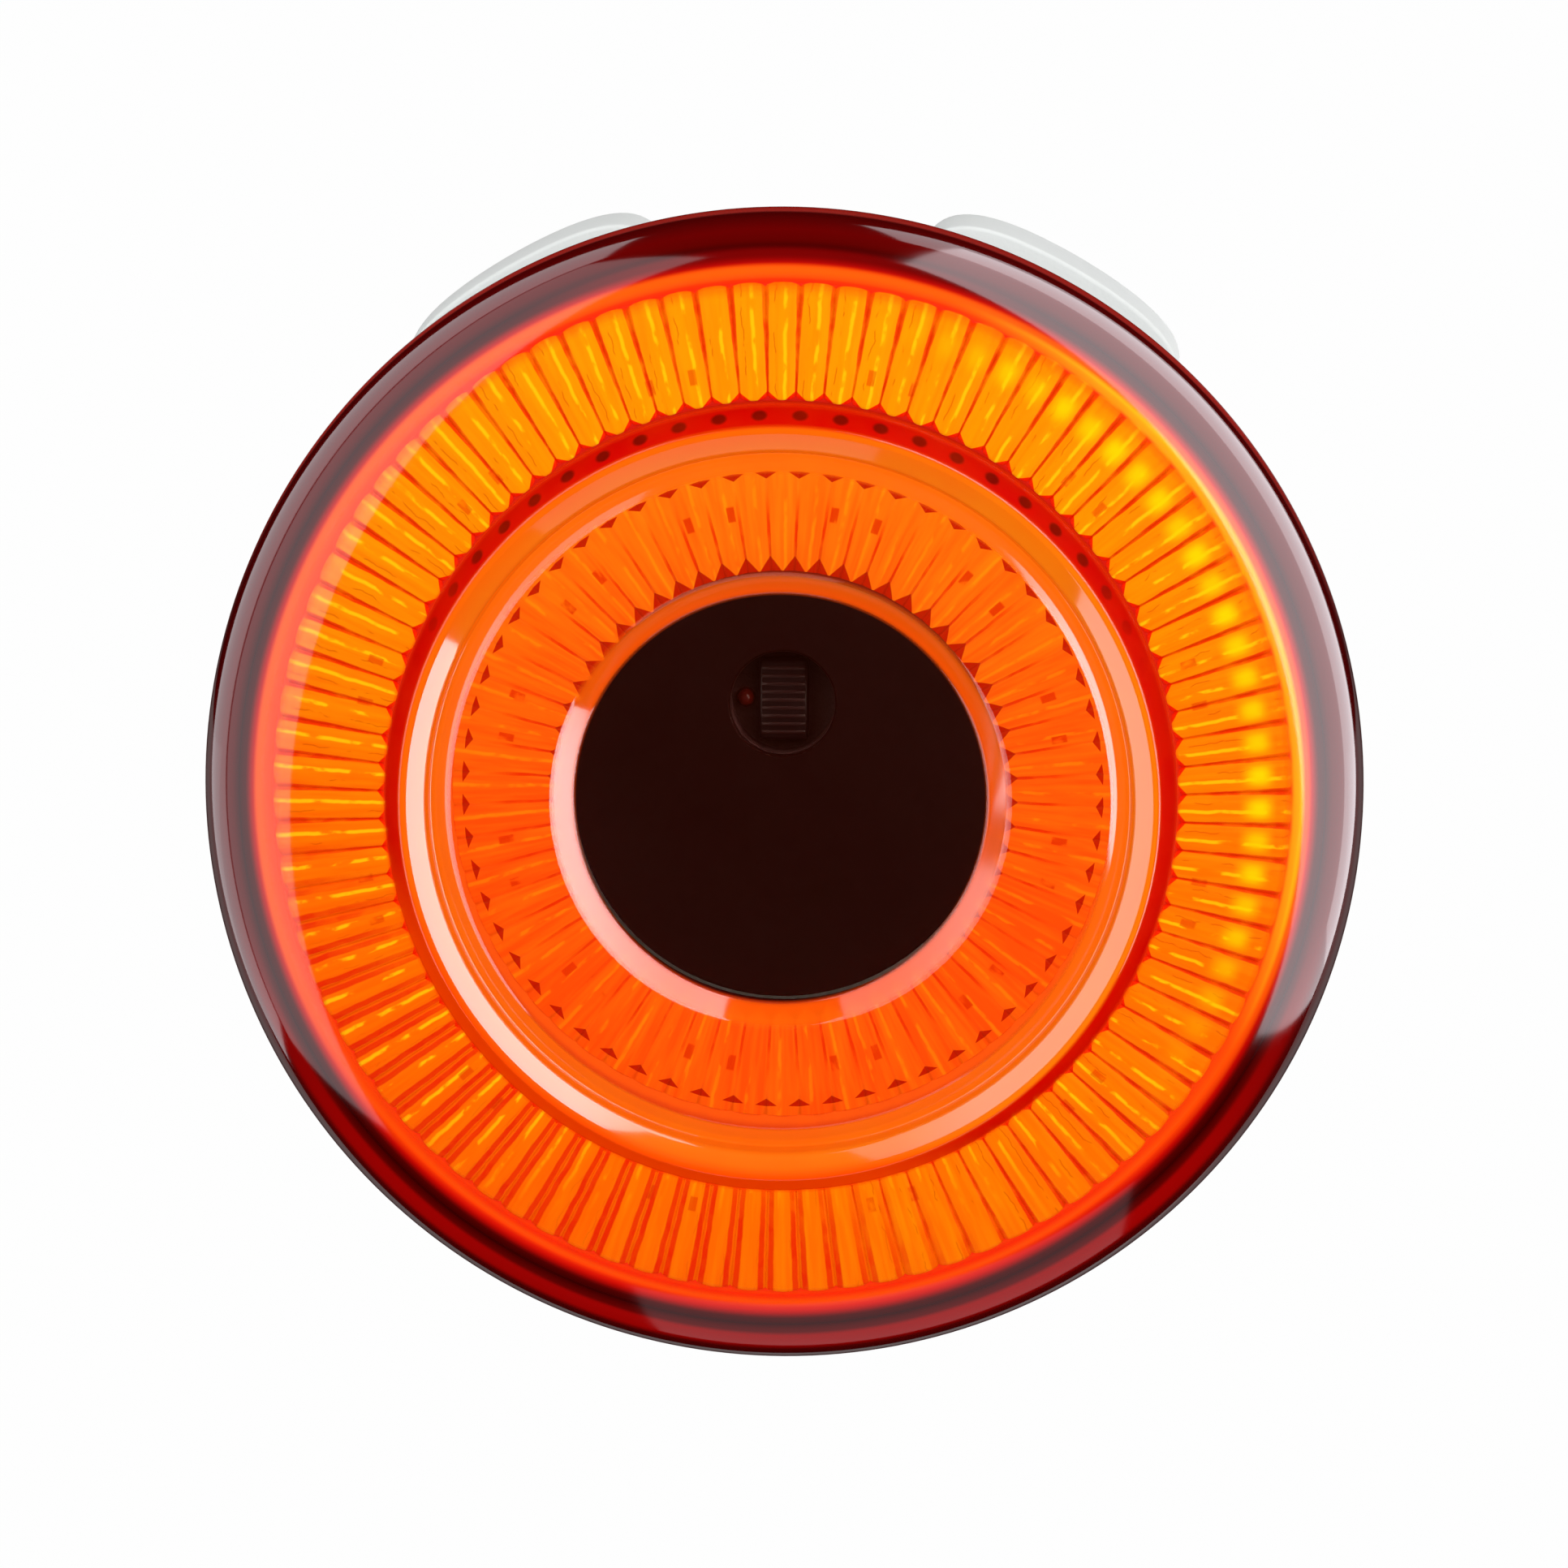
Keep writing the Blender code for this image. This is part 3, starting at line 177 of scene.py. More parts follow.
def round_rectangle(width: float, height: float, corner: float, points: int = 7) -> list[Point]:
    """The outline of a rounded rectangle about the origin.

    Args:
        width: full width.
        height: full height.
        corner: radius of its corners.
        points: points on each corner.

    Returns:
        The outline, clockwise from its right-hand upper corner.
    """
    corner = min(corner, width / 2, height / 2)
    across = width / 2 - corner
    up = height / 2 - corner
    middles = ((across, up, 0), (across, -up, 90), (-across, -up, 180), (-across, up, 270))
    outline = []
    for x, y, start in middles:
        outline += arc((x, y), corner, corner, start, start + 90, points)
    return outline


def lathe(
    profile: Sequence[Point], steps: int = FINE_STEPS, closed: bool = False, slots: Sequence[int] = ()
) -> Shape:
    """Turn a profile of (radius, height) points about Z.

    Args:
        profile: the section, whose ends lie on the axis unless it is closed.
        steps: faces round the axis.
        closed: whether the last point joins the first.
        slots: material slot of each band of faces, or none for slot 0.

    Returns:
        The turned shape with its normals out.
    """
    shape = bmesh.new()
    rings = []
    for radius, height in profile:
        count = 1 if radius < ON_AXIS else steps
        places = [clock(radius, 360 * k / steps) for k in range(count)]
        rings.append([shape.verts.new((x, y, height)) for x, y in places])
    ends = rings[1:] + rings[:1] if closed else rings[1:]
    for band, (upper, lower) in enumerate(zip(rings, ends)):
        for k in range(steps):
            ways = ((upper, k), (upper, k + 1), (lower, k + 1), (lower, k))
            corners = list(dict.fromkeys(ring[j % len(ring)] for ring, j in ways))
            if len(corners) > 2:
                face = shape.faces.new(corners)
                face.material_index = slots[band] if slots else 0
    bmesh.ops.recalc_face_normals(shape, faces=shape.faces)
    return shape


def stack(loops: Sequence[Sequence[Place]]) -> Shape:
    """A closed shape through loops of the same number of points.

    Args:
        loops: the outlines in order, each closed by itself.

    Returns:
        The shape, with a fan of faces over its first and last loop and its normals out.
    """
    shape = bmesh.new()
    rings = [[shape.verts.new(place) for place in loop] for loop in loops]
    count = len(rings[0])
    for lower, upper in zip(rings, rings[1:]):
        for k in range(count):
            after = (k + 1) % count
            shape.faces.new((lower[k], lower[after], upper[after], upper[k]))
    for ring in (rings[0], rings[-1]):
        middle = shape.verts.new(sum((vertex.co for vertex in ring), Vector()) / count)
        for k in range(count):
            shape.faces.new((ring[k], ring[(k + 1) % count], middle))
    bmesh.ops.recalc_face_normals(shape, faces=shape.faces)
    return shape


def tiers(
    size: Sequence[float], corner: float, steps: Sequence[Point], points: int = 7, follow: float = 0.0
) -> list[list[Place]]:
    """Loops of a rounded rectangle that is drawn in step by step along Z.

    Args:
        size: full width and height.
        corner: radius of its corners.
        steps: how far each loop is drawn in, and its place along Z.
        points: points on each corner.
        follow: share of the draw that comes off the corners' radius.

    Returns:
        The loops in order.
    """
    loops = []
    for inset, place in steps:
        outline = round_rectangle(size[0] - 2 * inset, size[1] - 2 * inset, corner - inset * follow, points)
        loops.append([(x, y, place) for x, y in outline])
    return loops


def upright(loops: Sequence[Sequence[Place]], level: float) -> list[list[Place]]:
    """Loops turned so that their steps run up the lamp's face, about a height above its back."""
    return [[(x, place, level + y) for x, y, place in loop] for loop in loops]


def bar(size: Place, edge: float) -> Shape:
    """A bar about the origin, of a width, length and height, with rounded top edges."""
    half = size[2] / 2
    return stack(tiers(size[:2], edge, ((0.0, -half), (0.0, half - edge), (edge, half)), 3))


def disc(radius: float, back: float, front: float, edge: float) -> Shape:
    """A turned disc with rounded edges."""
    corners = [(0.0, front, 0.0), (radius, front, edge), (radius, back, edge), (0.0, back, 0.0)]
    return lathe(rounded(corners))


def moved(shape: Shape, across: float = 0.0, up: float = 0.0, out: float = 0.0) -> Shape:
    """A shape moved by millimetres across the lamp, up it and out of its lens."""
    bmesh.ops.translate(shape, verts=shape.verts, vec=(across, up, out))
    return shape


def on_wall(shape: Shape, radius: float, angle: float, level: float) -> Shape:
    """A shape about Z, turned to stand out of the case's wall.

    Args:
        shape: the shape, with Z outwards.
        radius: radius that its origin goes to.
        angle: degrees clockwise from twelve o'clock.
        level: height of its middle.

    Returns:
        The same shape in its place.
    """
    x, y = clock(radius, angle)
    outward = Vector((x, y, 0.0)).to_track_quat("Z", "Y").to_matrix().to_4x4()
    shape.transform(Matrix.Translation((x, y, level)) @ outward)
    return shape


def as_mesh(name: str, shape: Shape) -> bpy.types.Mesh:
    """A mesh from a shape, which is freed.

    Args:
        name: name of the mesh.
        shape: the shape in lamp millimetres.

    Returns:
        The mesh, still in lamp millimetres.
    """
    mesh = bpy.data.meshes.new(name)
    shape.to_mesh(mesh)
    shape.free()
    return mesh


def in_scene(name: str, data: bpy.types.ID) -> bpy.types.Object:
    """A new object in the scene.

    Args:
        name: name of the object.
        data: its mesh, curve, lamp or camera.

    Returns:
        The object.
    """
    made = bpy.data.objects.new(name, data)
    bpy.context.scene.collection.objects.link(made)
    return made


def settled(holder: bpy.types.Object, *others: bpy.types.Object) -> Shape:
    """The shape of a short-lived object as its modifiers leave it.

    Args:
        holder: the object, which is removed.
        others: more objects to remove with it.

    Returns:
        The shape in lamp millimetres.
    """
    bpy.context.view_layer.update()
    mesh = bpy.data.meshes.new_from_object(holder.evaluated_get(bpy.context.evaluated_depsgraph_get()))
    holder.modifiers.clear()
    for used in (holder, *others):
        bpy.data.objects.remove(used)
    shape = bmesh.new()
    shape.from_mesh(mesh)
    bpy.data.meshes.remove(mesh)
    return shape


def cut(shape: Shape, cutter: Shape, join: bool = False) -> Shape:
    """One shape with another cut out of it or joined to it.

    Args:
        shape: the shape to work on.
        cutter: the shape to take away or to add.
        join: whether it is added.

    Returns:
        The new shape.
    """
    holder = in_scene("shape", as_mesh("shape", shape))
    tool = in_scene("cutter", as_mesh("cutter", cutter))
    modifier = holder.modifiers.new("cut", "BOOLEAN")
    modifier.operation = "UNION" if join else "DIFFERENCE"
    modifier.object = tool
    return settled(holder, tool)


def piece(
    name: str,
    shape: Shape,
    finishes: Sequence[Material],
    body: Body | None,
    replaces: Sequence[str] = (),
    sharp: float = 38.0,
) -> bpy.types.Object:
    """A finished piece of the object, with its place in its mesh.

    Args:
        name: name of the piece.
        shape: the shape in lamp millimetres.
        finishes: materials, by slot number.
        body: the body it rides on, or None for a piece that rides on no body.
        replaces: CAD nodes that it stands for.
        sharp: least angle of an edge that stays sharp, in degrees.

    Returns:
        The object.
    """
    shape.transform(LAMP_TO_WORLD)
    mesh = as_mesh(name, shape)
    for finish in finishes:
        mesh.materials.append(finish)
    mesh.shade_smooth()
    mesh.set_sharp_from_angle(angle=math.radians(sharp))
    made = in_scene(name, mesh)
    if body:
        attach(made, body.value)
    if replaces:
        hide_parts(*replaces)
    log.info("%s: %d faces", name, len(mesh.polygons))
    return made


@dataclass(frozen=True)
class Value:
    """A number that changes over a surface, written in Python expressions."""

    graph: Graph
    socket: Socket

    def math(self, operation: str, *others: Value | float) -> Value:
        """A Math node on this number and others.

        Args:
            operation: the node's operation.
            others: further numbers or values.

        Returns:
            The result.
        """
        numbers = dict(enumerate((self, *others)))
        node = self.graph.node("ShaderNodeMath", {"operation": operation}, numbers)
        return self.graph.value(node.outputs[0])

    def __add__(self, other: Value | float) -> Value:
        """This number plus another."""
        return self.math("ADD", other)

    __radd__ = __add__

    def __sub__(self, other: Value | float) -> Value:
        """This number less another."""
        return self.math("SUBTRACT", other)

    def __rsub__(self, other: float) -> Value:
        """Another number less this one."""
        return (self * -1.0) + other

    def __mul__(self, other: Value | float) -> Value:
        """This number times another."""
        return self.math("MULTIPLY", other)

    __rmul__ = __mul__

    def __truediv__(self, other: Value | float) -> Value:
        """This number over another."""
        return self.math("DIVIDE", other)

    def __abs__(self) -> Value:
        """This number without its sign."""
        return self.math("ABSOLUTE")

    def root(self) -> Value:
        """The square root."""
        return self.math("SQRT")

    def fraction(self) -> Value:
        """The part after the point."""
        return self.math("FRACT")

    def whole(self) -> Value:
        """The whole number below."""
        return self.math("FLOOR")

    def rise(self, low: float, high: float) -> Value:
        """A smooth step.

        Args:
            low: where the result is 0.
            high: where the result is 1.

        Returns:
            The step, between 0 and 1.
        """
        inputs = {"Value": self, "From Min": low, "From Max": high}
        node = self.graph.node("ShaderNodeMapRange", {"interpolation_type": "SMOOTHSTEP"}, inputs)
        return self.graph.value(node.outputs["Result"])

    def fall(self, low: float, high: float) -> Value:
        """One less a smooth step."""
        return 1.0 - self.rise(low, high)

    def band(self, start: float, full: float, fading: float, end: float) -> Value:
        """A smooth band that leaves 0, reaches 1, leaves 1 and is 0 again at these four places."""
        return self.rise(start, full) * self.fall(fading, end)


class Graph:
    """A tree of nodes while it is put together."""

    def __init__(self, tree: bpy.types.NodeTree) -> None:
        """Empty the node tree of a material, a world or a modifier."""
        self.tree = tree
        self.tree.nodes.clear()

    def node(
        self, kind: str, settings: dict[str, Any] | None = None, inputs: dict[Any, Any] | None = None
    ) -> bpy.types.Node:
        """A node with its settings and sockets.

        Args:
            kind: type of the node.
            settings: properties, set before the sockets; stops are those of a ramp.
            inputs: numbers, colours, values or sockets, by socket name or number.

        Returns:
            The node.
        """
        node = self.tree.nodes.new(kind)
        for name, value in (settings or {}).items():
            if name == "stops":
                self._set_stops(node.color_ramp, value)
            else:
                setattr(node, name, value)
        for key, source in (inputs or {}).items():
            target = node.inputs[key]
            if isinstance(source, Value):
                self.tree.links.new(source.socket, target)
            elif isinstance(source, Socket):
                self.tree.links.new(source, target)
            elif isinstance(source, tuple) and target.type == "RGBA":
                target.default_value = (*source, 1.0)
            else:
                target.default_value = source
        return node

    @staticmethod
    def _set_stops(ramp: bpy.types.ColorRamp, stops: Sequence[Stop]) -> None:
        """Set a ramp's stops.

        Args:
            ramp: the ramp of a new node.
            stops: places from 0 to 1, in order, and colours.
        """
        while len(ramp.elements) < len(stops):
            ramp.elements.new(1.0)
        for element, (place, colour) in zip(ramp.elements, stops):
            element.position = place
            element.color = (*colour, 1.0)

    def value(self, socket: Socket) -> Value:
        """A socket as a number in expressions."""
        return Value(self, socket)

    def blended(self, share: Value | float, below: Socket, above: Socket) -> Socket:
        """One shader over another, by its share."""
        return self.node("ShaderNodeMixShader", inputs={0: share, 1: below, 2: above}).outputs[0]

    def rays(self) -> tuple[Value, Value]:
        """Kinds of ray that meet a surface or the world.

        Returns:
            One for camera rays, and one for rays from gloss or through clear plastic.
        """
        kinds = self.node("ShaderNodeLightPath").outputs
        mirrored = self.value(kinds["Is Glossy Ray"]) + self.value(kinds["Is Transmission Ray"])
        return self.value(kinds["Is Camera Ray"]), mirrored.math("MINIMUM", 1.0)

    def lit_through(self, shader: Socket) -> Socket:
        """A clear surface that lets lamps shine through it.

        Args:
            shader: the surface.

        Returns:
            The shader, with nothing in the way of light on its way to a lamp.
        """
        kinds = self.node("ShaderNodeLightPath").outputs
        light = self.value(kinds["Is Shadow Ray"]) + self.value(kinds["Is Diffuse Ray"])
        nothing = self.node("ShaderNodeBsdfTransparent").outputs[0]
        return self.blended(light.math("MINIMUM", 1.0), shader, nothing)


class CopyTree:
    """A Geometry Nodes tree that repeats a shape in a ring about Z or in a row."""

    def __init__(self, layout: Layout) -> None:
        """Build the tree with its named inputs.

        Args:
            layout: ring or row.
        """
        self.tree = bpy.data.node_groups.new(f"copies_in_a_{layout.value}", "GeometryNodeTree")
        self.sockets = {}
        kinds = {
            "Shape": "NodeSocketGeometry",
            "Count": "NodeSocketInt",
            "Step": "NodeSocketVector",
            "Start": "NodeSocketVector",
            "Finish": "NodeSocketMaterial",
        }
        ends = self.tree.interface
        for name, kind in kinds.items():
            self.sockets[name] = ends.new_socket(name=name, in_out="INPUT", socket_type=kind).identifier
        ends.new_socket(name="Copies", in_out="OUTPUT", socket_type="NodeSocketGeometry")
        self._wire(layout)

    def _wire(self, layout: Layout) -> None:
        """Join the tree's nodes: points, copies on them, real meshes and their material.

        Args:
            layout: ring or row.
        """
        graph = Graph(self.tree)
        source = graph.node("NodeGroupInput").outputs
        index = graph.node("GeometryNodeInputIndex").outputs[0]
        points = graph.node("GeometryNodePoints", inputs={"Count": source["Count"]}).outputs[0]
        inputs = {0: source["Step"], "Scale": index}
        offset = graph.node("ShaderNodeVectorMath", {"operation": "SCALE"}, inputs).outputs[0]
        inputs = {0: offset, 1: source["Start"]}
        total = graph.node("ShaderNodeVectorMath", {"operation": "ADD"}, inputs).outputs[0]
        copying = {"Points": points, "Instance": source["Shape"]}
        if layout is Layout.RING:
            copying["Rotation"] = total
        else:
            inputs = {"Geometry": points, "Offset": total}
            copying["Points"] = graph.node("GeometryNodeSetPosition", inputs=inputs).outputs[0]
        copies = graph.node("GeometryNodeInstanceOnPoints", inputs=copying).outputs[0]
        real = graph.node("GeometryNodeRealizeInstances", inputs={0: copies}).outputs[0]
        inputs = {"Geometry": real, "Material": source["Finish"]}
        dressed = graph.node("GeometryNodeSetMaterial", inputs=inputs).outputs[0]
        graph.node("NodeGroupOutput", inputs={0: dressed})

    def repeat(self, shape: Shape, count: int, step: Place, start: Place, finish: Material) -> Shape:
        """Copies of a shape.

        Args:
            shape: the shape to repeat.
            count: number of copies.
            step: turn in radians or move in millimetres from each copy to the next.
            start: turn or move of the first copy.
            finish: material of the copies.

        Returns:
            One shape that holds the copies.
        """
        holder = in_scene("copies", as_mesh("copies", shape))
        modifier = holder.modifiers.new("copies", "NODES")
        modifier.node_group = self.tree
        values = {"Count": count, "Step": step, "Start": start, "Finish": finish}
        for name, value in values.items():
            modifier[self.sockets[name]] = value
        return settled(holder)


class Paint(Graph):
    """A material while its nodes are put together."""

    def __init__(self, name: str) -> None:
        """Start an empty material.

        Args:
            name: name of the material.
        """
        self.material = bpy.data.materials.new(name)
        self.material.use_nodes = True
        super().__init__(self.material.node_tree)
        self.output = self.node("ShaderNodeOutputMaterial")
        self.coordinates = self.node("ShaderNodeTexCoord").outputs["Object"]

    @cached_property
    def place(self) -> tuple[Value, Value, Value]:
        """Millimetres across, up and out of the lens at the place on the surface."""
        parts = self.node("ShaderNodeSeparateXYZ", inputs={0: self.coordinates}).outputs
        return self.value(parts[0]) / MM, self.value(parts[2]) / MM, self.value(parts[1]) / -MM

    def polar(self) -> tuple[Value, Value]:
        """The place on the lamp's face.

        Returns:
            The radius in millimetres, and the angle in turns clockwise from twelve o'clock.
        """
        across, up, _ = self.place
        radius = (across * across + up * up).root()
        return radius, across.math("ARCTAN2", up) / math.tau

    def toward(self, degrees: float, reach: float) -> Value:
        """How far a place on the lamp's face lies towards a clock angle.

        Args:
            degrees: the angle, clockwise from twelve o'clock.
            reach: millimetres that count as one.

        Returns:
            1 at the reach in that direction, and -1 at the reach away from it.
        """
        across, up, _ = self.place
        x, y = clock(1 / reach, degrees)
        return across * x + up * y

    def vector(self, *parts: Value | float) -> Socket:
        """A vector of numbers."""
        return self.node("ShaderNodeCombineXYZ", inputs=dict(enumerate(parts))).outputs[0]

    def noise(self, scale: float, detail: float = 2.0, vector: Socket | None = None) -> Value:
        """Smooth noise.

        Args:
            scale: turns for each unit of the vector.
            detail: octaves.
            vector: place to read it at, or None for millimetres on the piece.

        Returns:
            A number about 0.5.
        """
        if vector is None:
            inputs = {0: self.coordinates, "Scale": 1 / MM}
            vector = self.node("ShaderNodeVectorMath", {"operation": "SCALE"}, inputs).outputs[0]
        inputs = {"Vector": vector, "Scale": scale, "Detail": detail}
        return self.value(self.node("ShaderNodeTexNoise", inputs=inputs).outputs[0])

    def ramp(self, factor: Value, stops: Sequence[Stop], reach: float = 1.0) -> Socket:
        """A colour that follows a number through stops, up to the number at the far end."""
        shares = [(place / reach, colour) for place, colour in stops]
        return self.node("ShaderNodeValToRGB", {"stops": shares}, {0: factor / reach}).outputs[0]

    def level(self, factor: Value, stops: Sequence[Point], reach: float = 1.0) -> Value:
        """A number that follows another through stops, up to the number at the far end."""
        greys = [(place, (level, level, level)) for place, level in stops]
        return self.value(self.ramp(factor, greys, reach))

    def mix(self, factor: Value | float, first: Any, second: Any) -> Socket:
        """Two colours mixed, by the share of the second."""
        inputs = {0: factor, 6: first, 7: second}
        return self.node("ShaderNodeMix", {"data_type": "RGBA"}, inputs).outputs[2]

    def layered(self, base: Any, layers: Sequence[tuple[Value, Colour]]) -> Socket:
        """A colour with others laid over it in order.

        Args:
            base: colour or socket below them.
            layers: share and colour of each.

        Returns:
            The colour on top.
        """
        for share, colour in layers:
            base = self.mix(share, base, colour)
        return base

    def bump(self, height: Value, distance: float, strength: float = 1.0) -> Socket:
        """A normal from a height between 0 and 1, with its depth in millimetres."""
        inputs = {"Height": height, "Distance": distance * MM, "Strength": strength}
        return self.node("ShaderNodeBump", inputs=inputs).outputs[0]

    def body(self, **sockets: Any) -> Socket:
        """A Principled shader, with _ for each space in the names of its sockets."""
        inputs = {name.replace("_", " "): value for name, value in sockets.items()}
        return self.node("ShaderNodeBsdfPrincipled", inputs=inputs).outputs[0]

    def done(self, shader: Socket) -> Material:
        """The finished material, with its surface."""
        self.tree.links.new(shader, self.output.inputs["Surface"])
        return self.material


@dataclass(frozen=True)
class Moulded:
    """Moulded plastic, rubber or foam with a fine grain, mottled colour and uneven gloss."""

    name: str
    colour: Colour
    roughness: float = 0.45
    grain: float = 9.0
    depth: float = 0.02
    mottle: float = 0.15
    specular: float = 0.5

    broad_scale: float = 0.18
    octaves: float = 3.0
    broad_share: float = 0.7
    uneven_gloss: Point = (0.12, 0.1)

    def make(self) -> Material:
        """The material, with a grain in its bump, and broad and fine changes of colour and gloss.

        Returns:
            The material.
        """
        paint = Paint(self.name)
        broad = paint.noise(self.broad_scale, self.octaves)
        fine = paint.noise(self.grain, self.octaves)
        darker = tuple(c * (1 - self.mottle) for c in self.colour)
        lighter = tuple(min(1.0, c * (1 + self.mottle / 2)) for c in self.colour)
        base = paint.mix(broad * self.broad_share + fine * (1 - self.broad_share), darker, lighter)
        broad_gloss, fine_gloss = self.uneven_gloss
        rough = self.roughness + (broad - 0.5) * broad_gloss + (fine - 0.5) * fine_gloss
        shader = paint.body(
            Base_Color=base,
            Roughness=rough,
            Normal=paint.bump(fine, self.depth),
            Specular_IOR_Level=self.specular,
        )
        return paint.done(shader)


@dataclass(frozen=True)
class Metal:
    """Plated or drawn metal with fine lines along one direction."""

    name: str
    colour: Colour
    roughness: float = 0.28
    lines: Place = (0.3, 14.0, 14.0)
    tarnish: float = 0.82
    tarnish_scale: float = 0.6
    uneven_gloss: float = 0.2
    depth: float = 0.004

    def make(self) -> Material:
        """The material, with lines in its gloss and a faint tarnish in its colour.

        Returns:
            The material.
        """
        paint = Paint(self.name)
        stretch = paint.vector(*(part * scale for part, scale in zip(paint.place, self.lines)))
        drawn = paint.noise(1.0, 2.0, stretch)
        tarnish = paint.noise(self.tarnish_scale, 2.0)
        base = paint.mix(tarnish, tuple(c * self.tarnish for c in self.colour), self.colour)
        rough = self.roughness + (drawn - 0.5) * self.uneven_gloss
        normal = paint.bump(drawn, self.depth)
        return paint.done(paint.body(Base_Color=base, Roughness=rough, Metallic=1.0, Normal=normal))


@dataclass(frozen=True)
class ClearLens:
    """Clear orange plastic: see-through over flutes and window, dense where its walls stand on edge.

    Places are radii in millimetres. A band gives where it starts, is full, begins to fade and ends.
    """

    radius: float
    wall_dots: int = 60
    dot_radius: float = 13.37
    dot_size: Point = (0.31, 0.15)
    index: float = 1.5
    veil: float = 0.1
    front_tint: Colour = (1.0, 0.93, 0.86)
    inner_tint: Colour = (1.0, 0.97, 0.94)
    inner_sheen: float = 0.006
    smoothness: float = 0.05
    edge_on: Point = (0.6, 0.9)
    edge_density: float = 0.92
    low_set: float = -0.0083
    low_start: Point = (17.2, 17.7)
    hue_room: float = 0.4
    bright_band: Band = (17.7, 17.82, 18.06, 18.26)
    side_band: Band = (17.3, 17.45, 17.75, 17.9)
    ring_band: Band = (17.52, 17.68, 17.86, 18.06)
    ember_band: Band = (18.85, 19.05, 19.35, 19.6)
    crown_band: Band = (18.2, 18.35, 18.6, 18.85)
    lip_band: Band = (11.9, 12.3, 12.95, 13.1)
    low_lip_band: Band = (12.6, 13.05, 13.56, 13.68)
    wall_band: Band = (13.05, 13.11, 13.66, 13.72)
    rim_start: Point = (19.93, 19.98)
    mottle_end: Point = (17.8, 18.2)
    hues: tuple[Stop, ...] = (
        # Window and well
        (0.0, tone(255, 95, 10)), (7.08, tone(255, 85, 5)), (7.5, tone(255, 95, 5)),
        # Plateau
        (8.0, tone(255, 108, 10)), (11.3, tone(255, 106, 8)),
        # Groove and lip
        (11.95, tone(255, 108, 8)), (12.3, tone(255, 122, 14)), (12.99, tone(255, 104, 3)),
        # Wall of the lip
        (13.13, tone(222, 0, 0)), (13.58, tone(205, 0, 0)),
        # Cone
        (13.72, tone(255, 60, 0)), (14.1, tone(255, 110, 0)), (17.3, tone(255, 98, 0)),
        # Shoulder
        (17.52, tone(252, 38, 0)), (17.66, tone(252, 42, 0)), (17.82, tone(255, 88, 3)),
        (17.93, tone(255, 72, 2)), (18.05, tone(232, 26, 2)), (18.2, tone(208, 8, 0)),
        (18.32, tone(165, 3, 0)),
        # Rim
        (18.45, tone(84, 1, 0)), (18.72, tone(54, 0, 0)), (18.95, tone(92, 1, 0)), (19.3, tone(104, 1, 1)),
        (19.65, tone(84, 2, 2)), (20.0, tone(56, 2, 2)),
    )
    density: tuple[Point, ...] = (
        # Window and well
        (0.0, 0.0), (7.08, 0.0), (7.2, 0.95), (7.7, 0.8),
        # Plateau
        (7.95, 0.06), (11.36, 0.05),
        # Lip and its wall
        (11.48, 0.85), (13.5, 0.97), (13.63, 0.9),
        # Cone
        (13.71, 0.15), (13.8, 0.06), (17.3, 0.06),
        # Shoulder and rim
        (17.45, 0.45), (17.8, 0.6), (17.95, 0.95), (18.1, 1.0), (20.0, 1.0),
    )
    doubled: tuple[Point, ...] = (
        # Well
        (0.0, 0.0), (7.1, 0.0), (7.25, 0.8), (7.75, 0.8), (7.95, 0.0),
        # Lip
        (11.25, 0.0), (11.4, 1.0), (12.84, 1.0), (12.99, 0.0), (20.0, 0.0),
    )

    def front(self) -> Material:
        """The lens's front, whose colour and density follow the stepped section.

        Returns:
            The material.
        """
        paint = Paint("clear_orange_lens")
        radius, turn = paint.polar()
        across, up, _ = paint.place
        sunk = radius + up * radius.rise(*self.low_start) * self.low_set
        base = self._hue(paint, radius, turn, sunk)
        clear = paint.node("ShaderNodeBsdfTransparent", inputs={"Color": self.front_tint}).outputs[0]
        turned = paint.noise(6.0, 2.0, paint.vector(radius, 0.0, 0.0))
        rough = (turned + 1.0) * self.smoothness
        glossy = paint.body(Base_Color=base, Roughness=rough, IOR=self.index)
        matt = paint.body(Base_Color=base, Roughness=0.9, Specular_IOR_Level=0.0)
        body = paint.blended(radius.band(*self.wall_band), glossy, matt)
        opacity = paint.level(sunk, self.density, self.radius)
        seen = paint.blended(opacity, clear, body)
        facing = paint.node("ShaderNodeLayerWeight", inputs={"Blend": 0.5}).outputs["Facing"]
        edge_on = paint.value(facing).rise(*self.edge_on)
        seen = paint.blended(edge_on * self.edge_density, seen, matt)
        higher = up.math("MAXIMUM", 0.0) * 0.6
        beside_lip = ((abs(across) - higher) / self.dot_radius).rise(0.25, 0.55) * 0.85 + 0.15
        mirrors = paint.level(radius, self.doubled, self.radius) * beside_lip * 1.5
        return paint.done(paint.lit_through(self._shine(paint, seen, 1.0 - opacity + mirrors)))

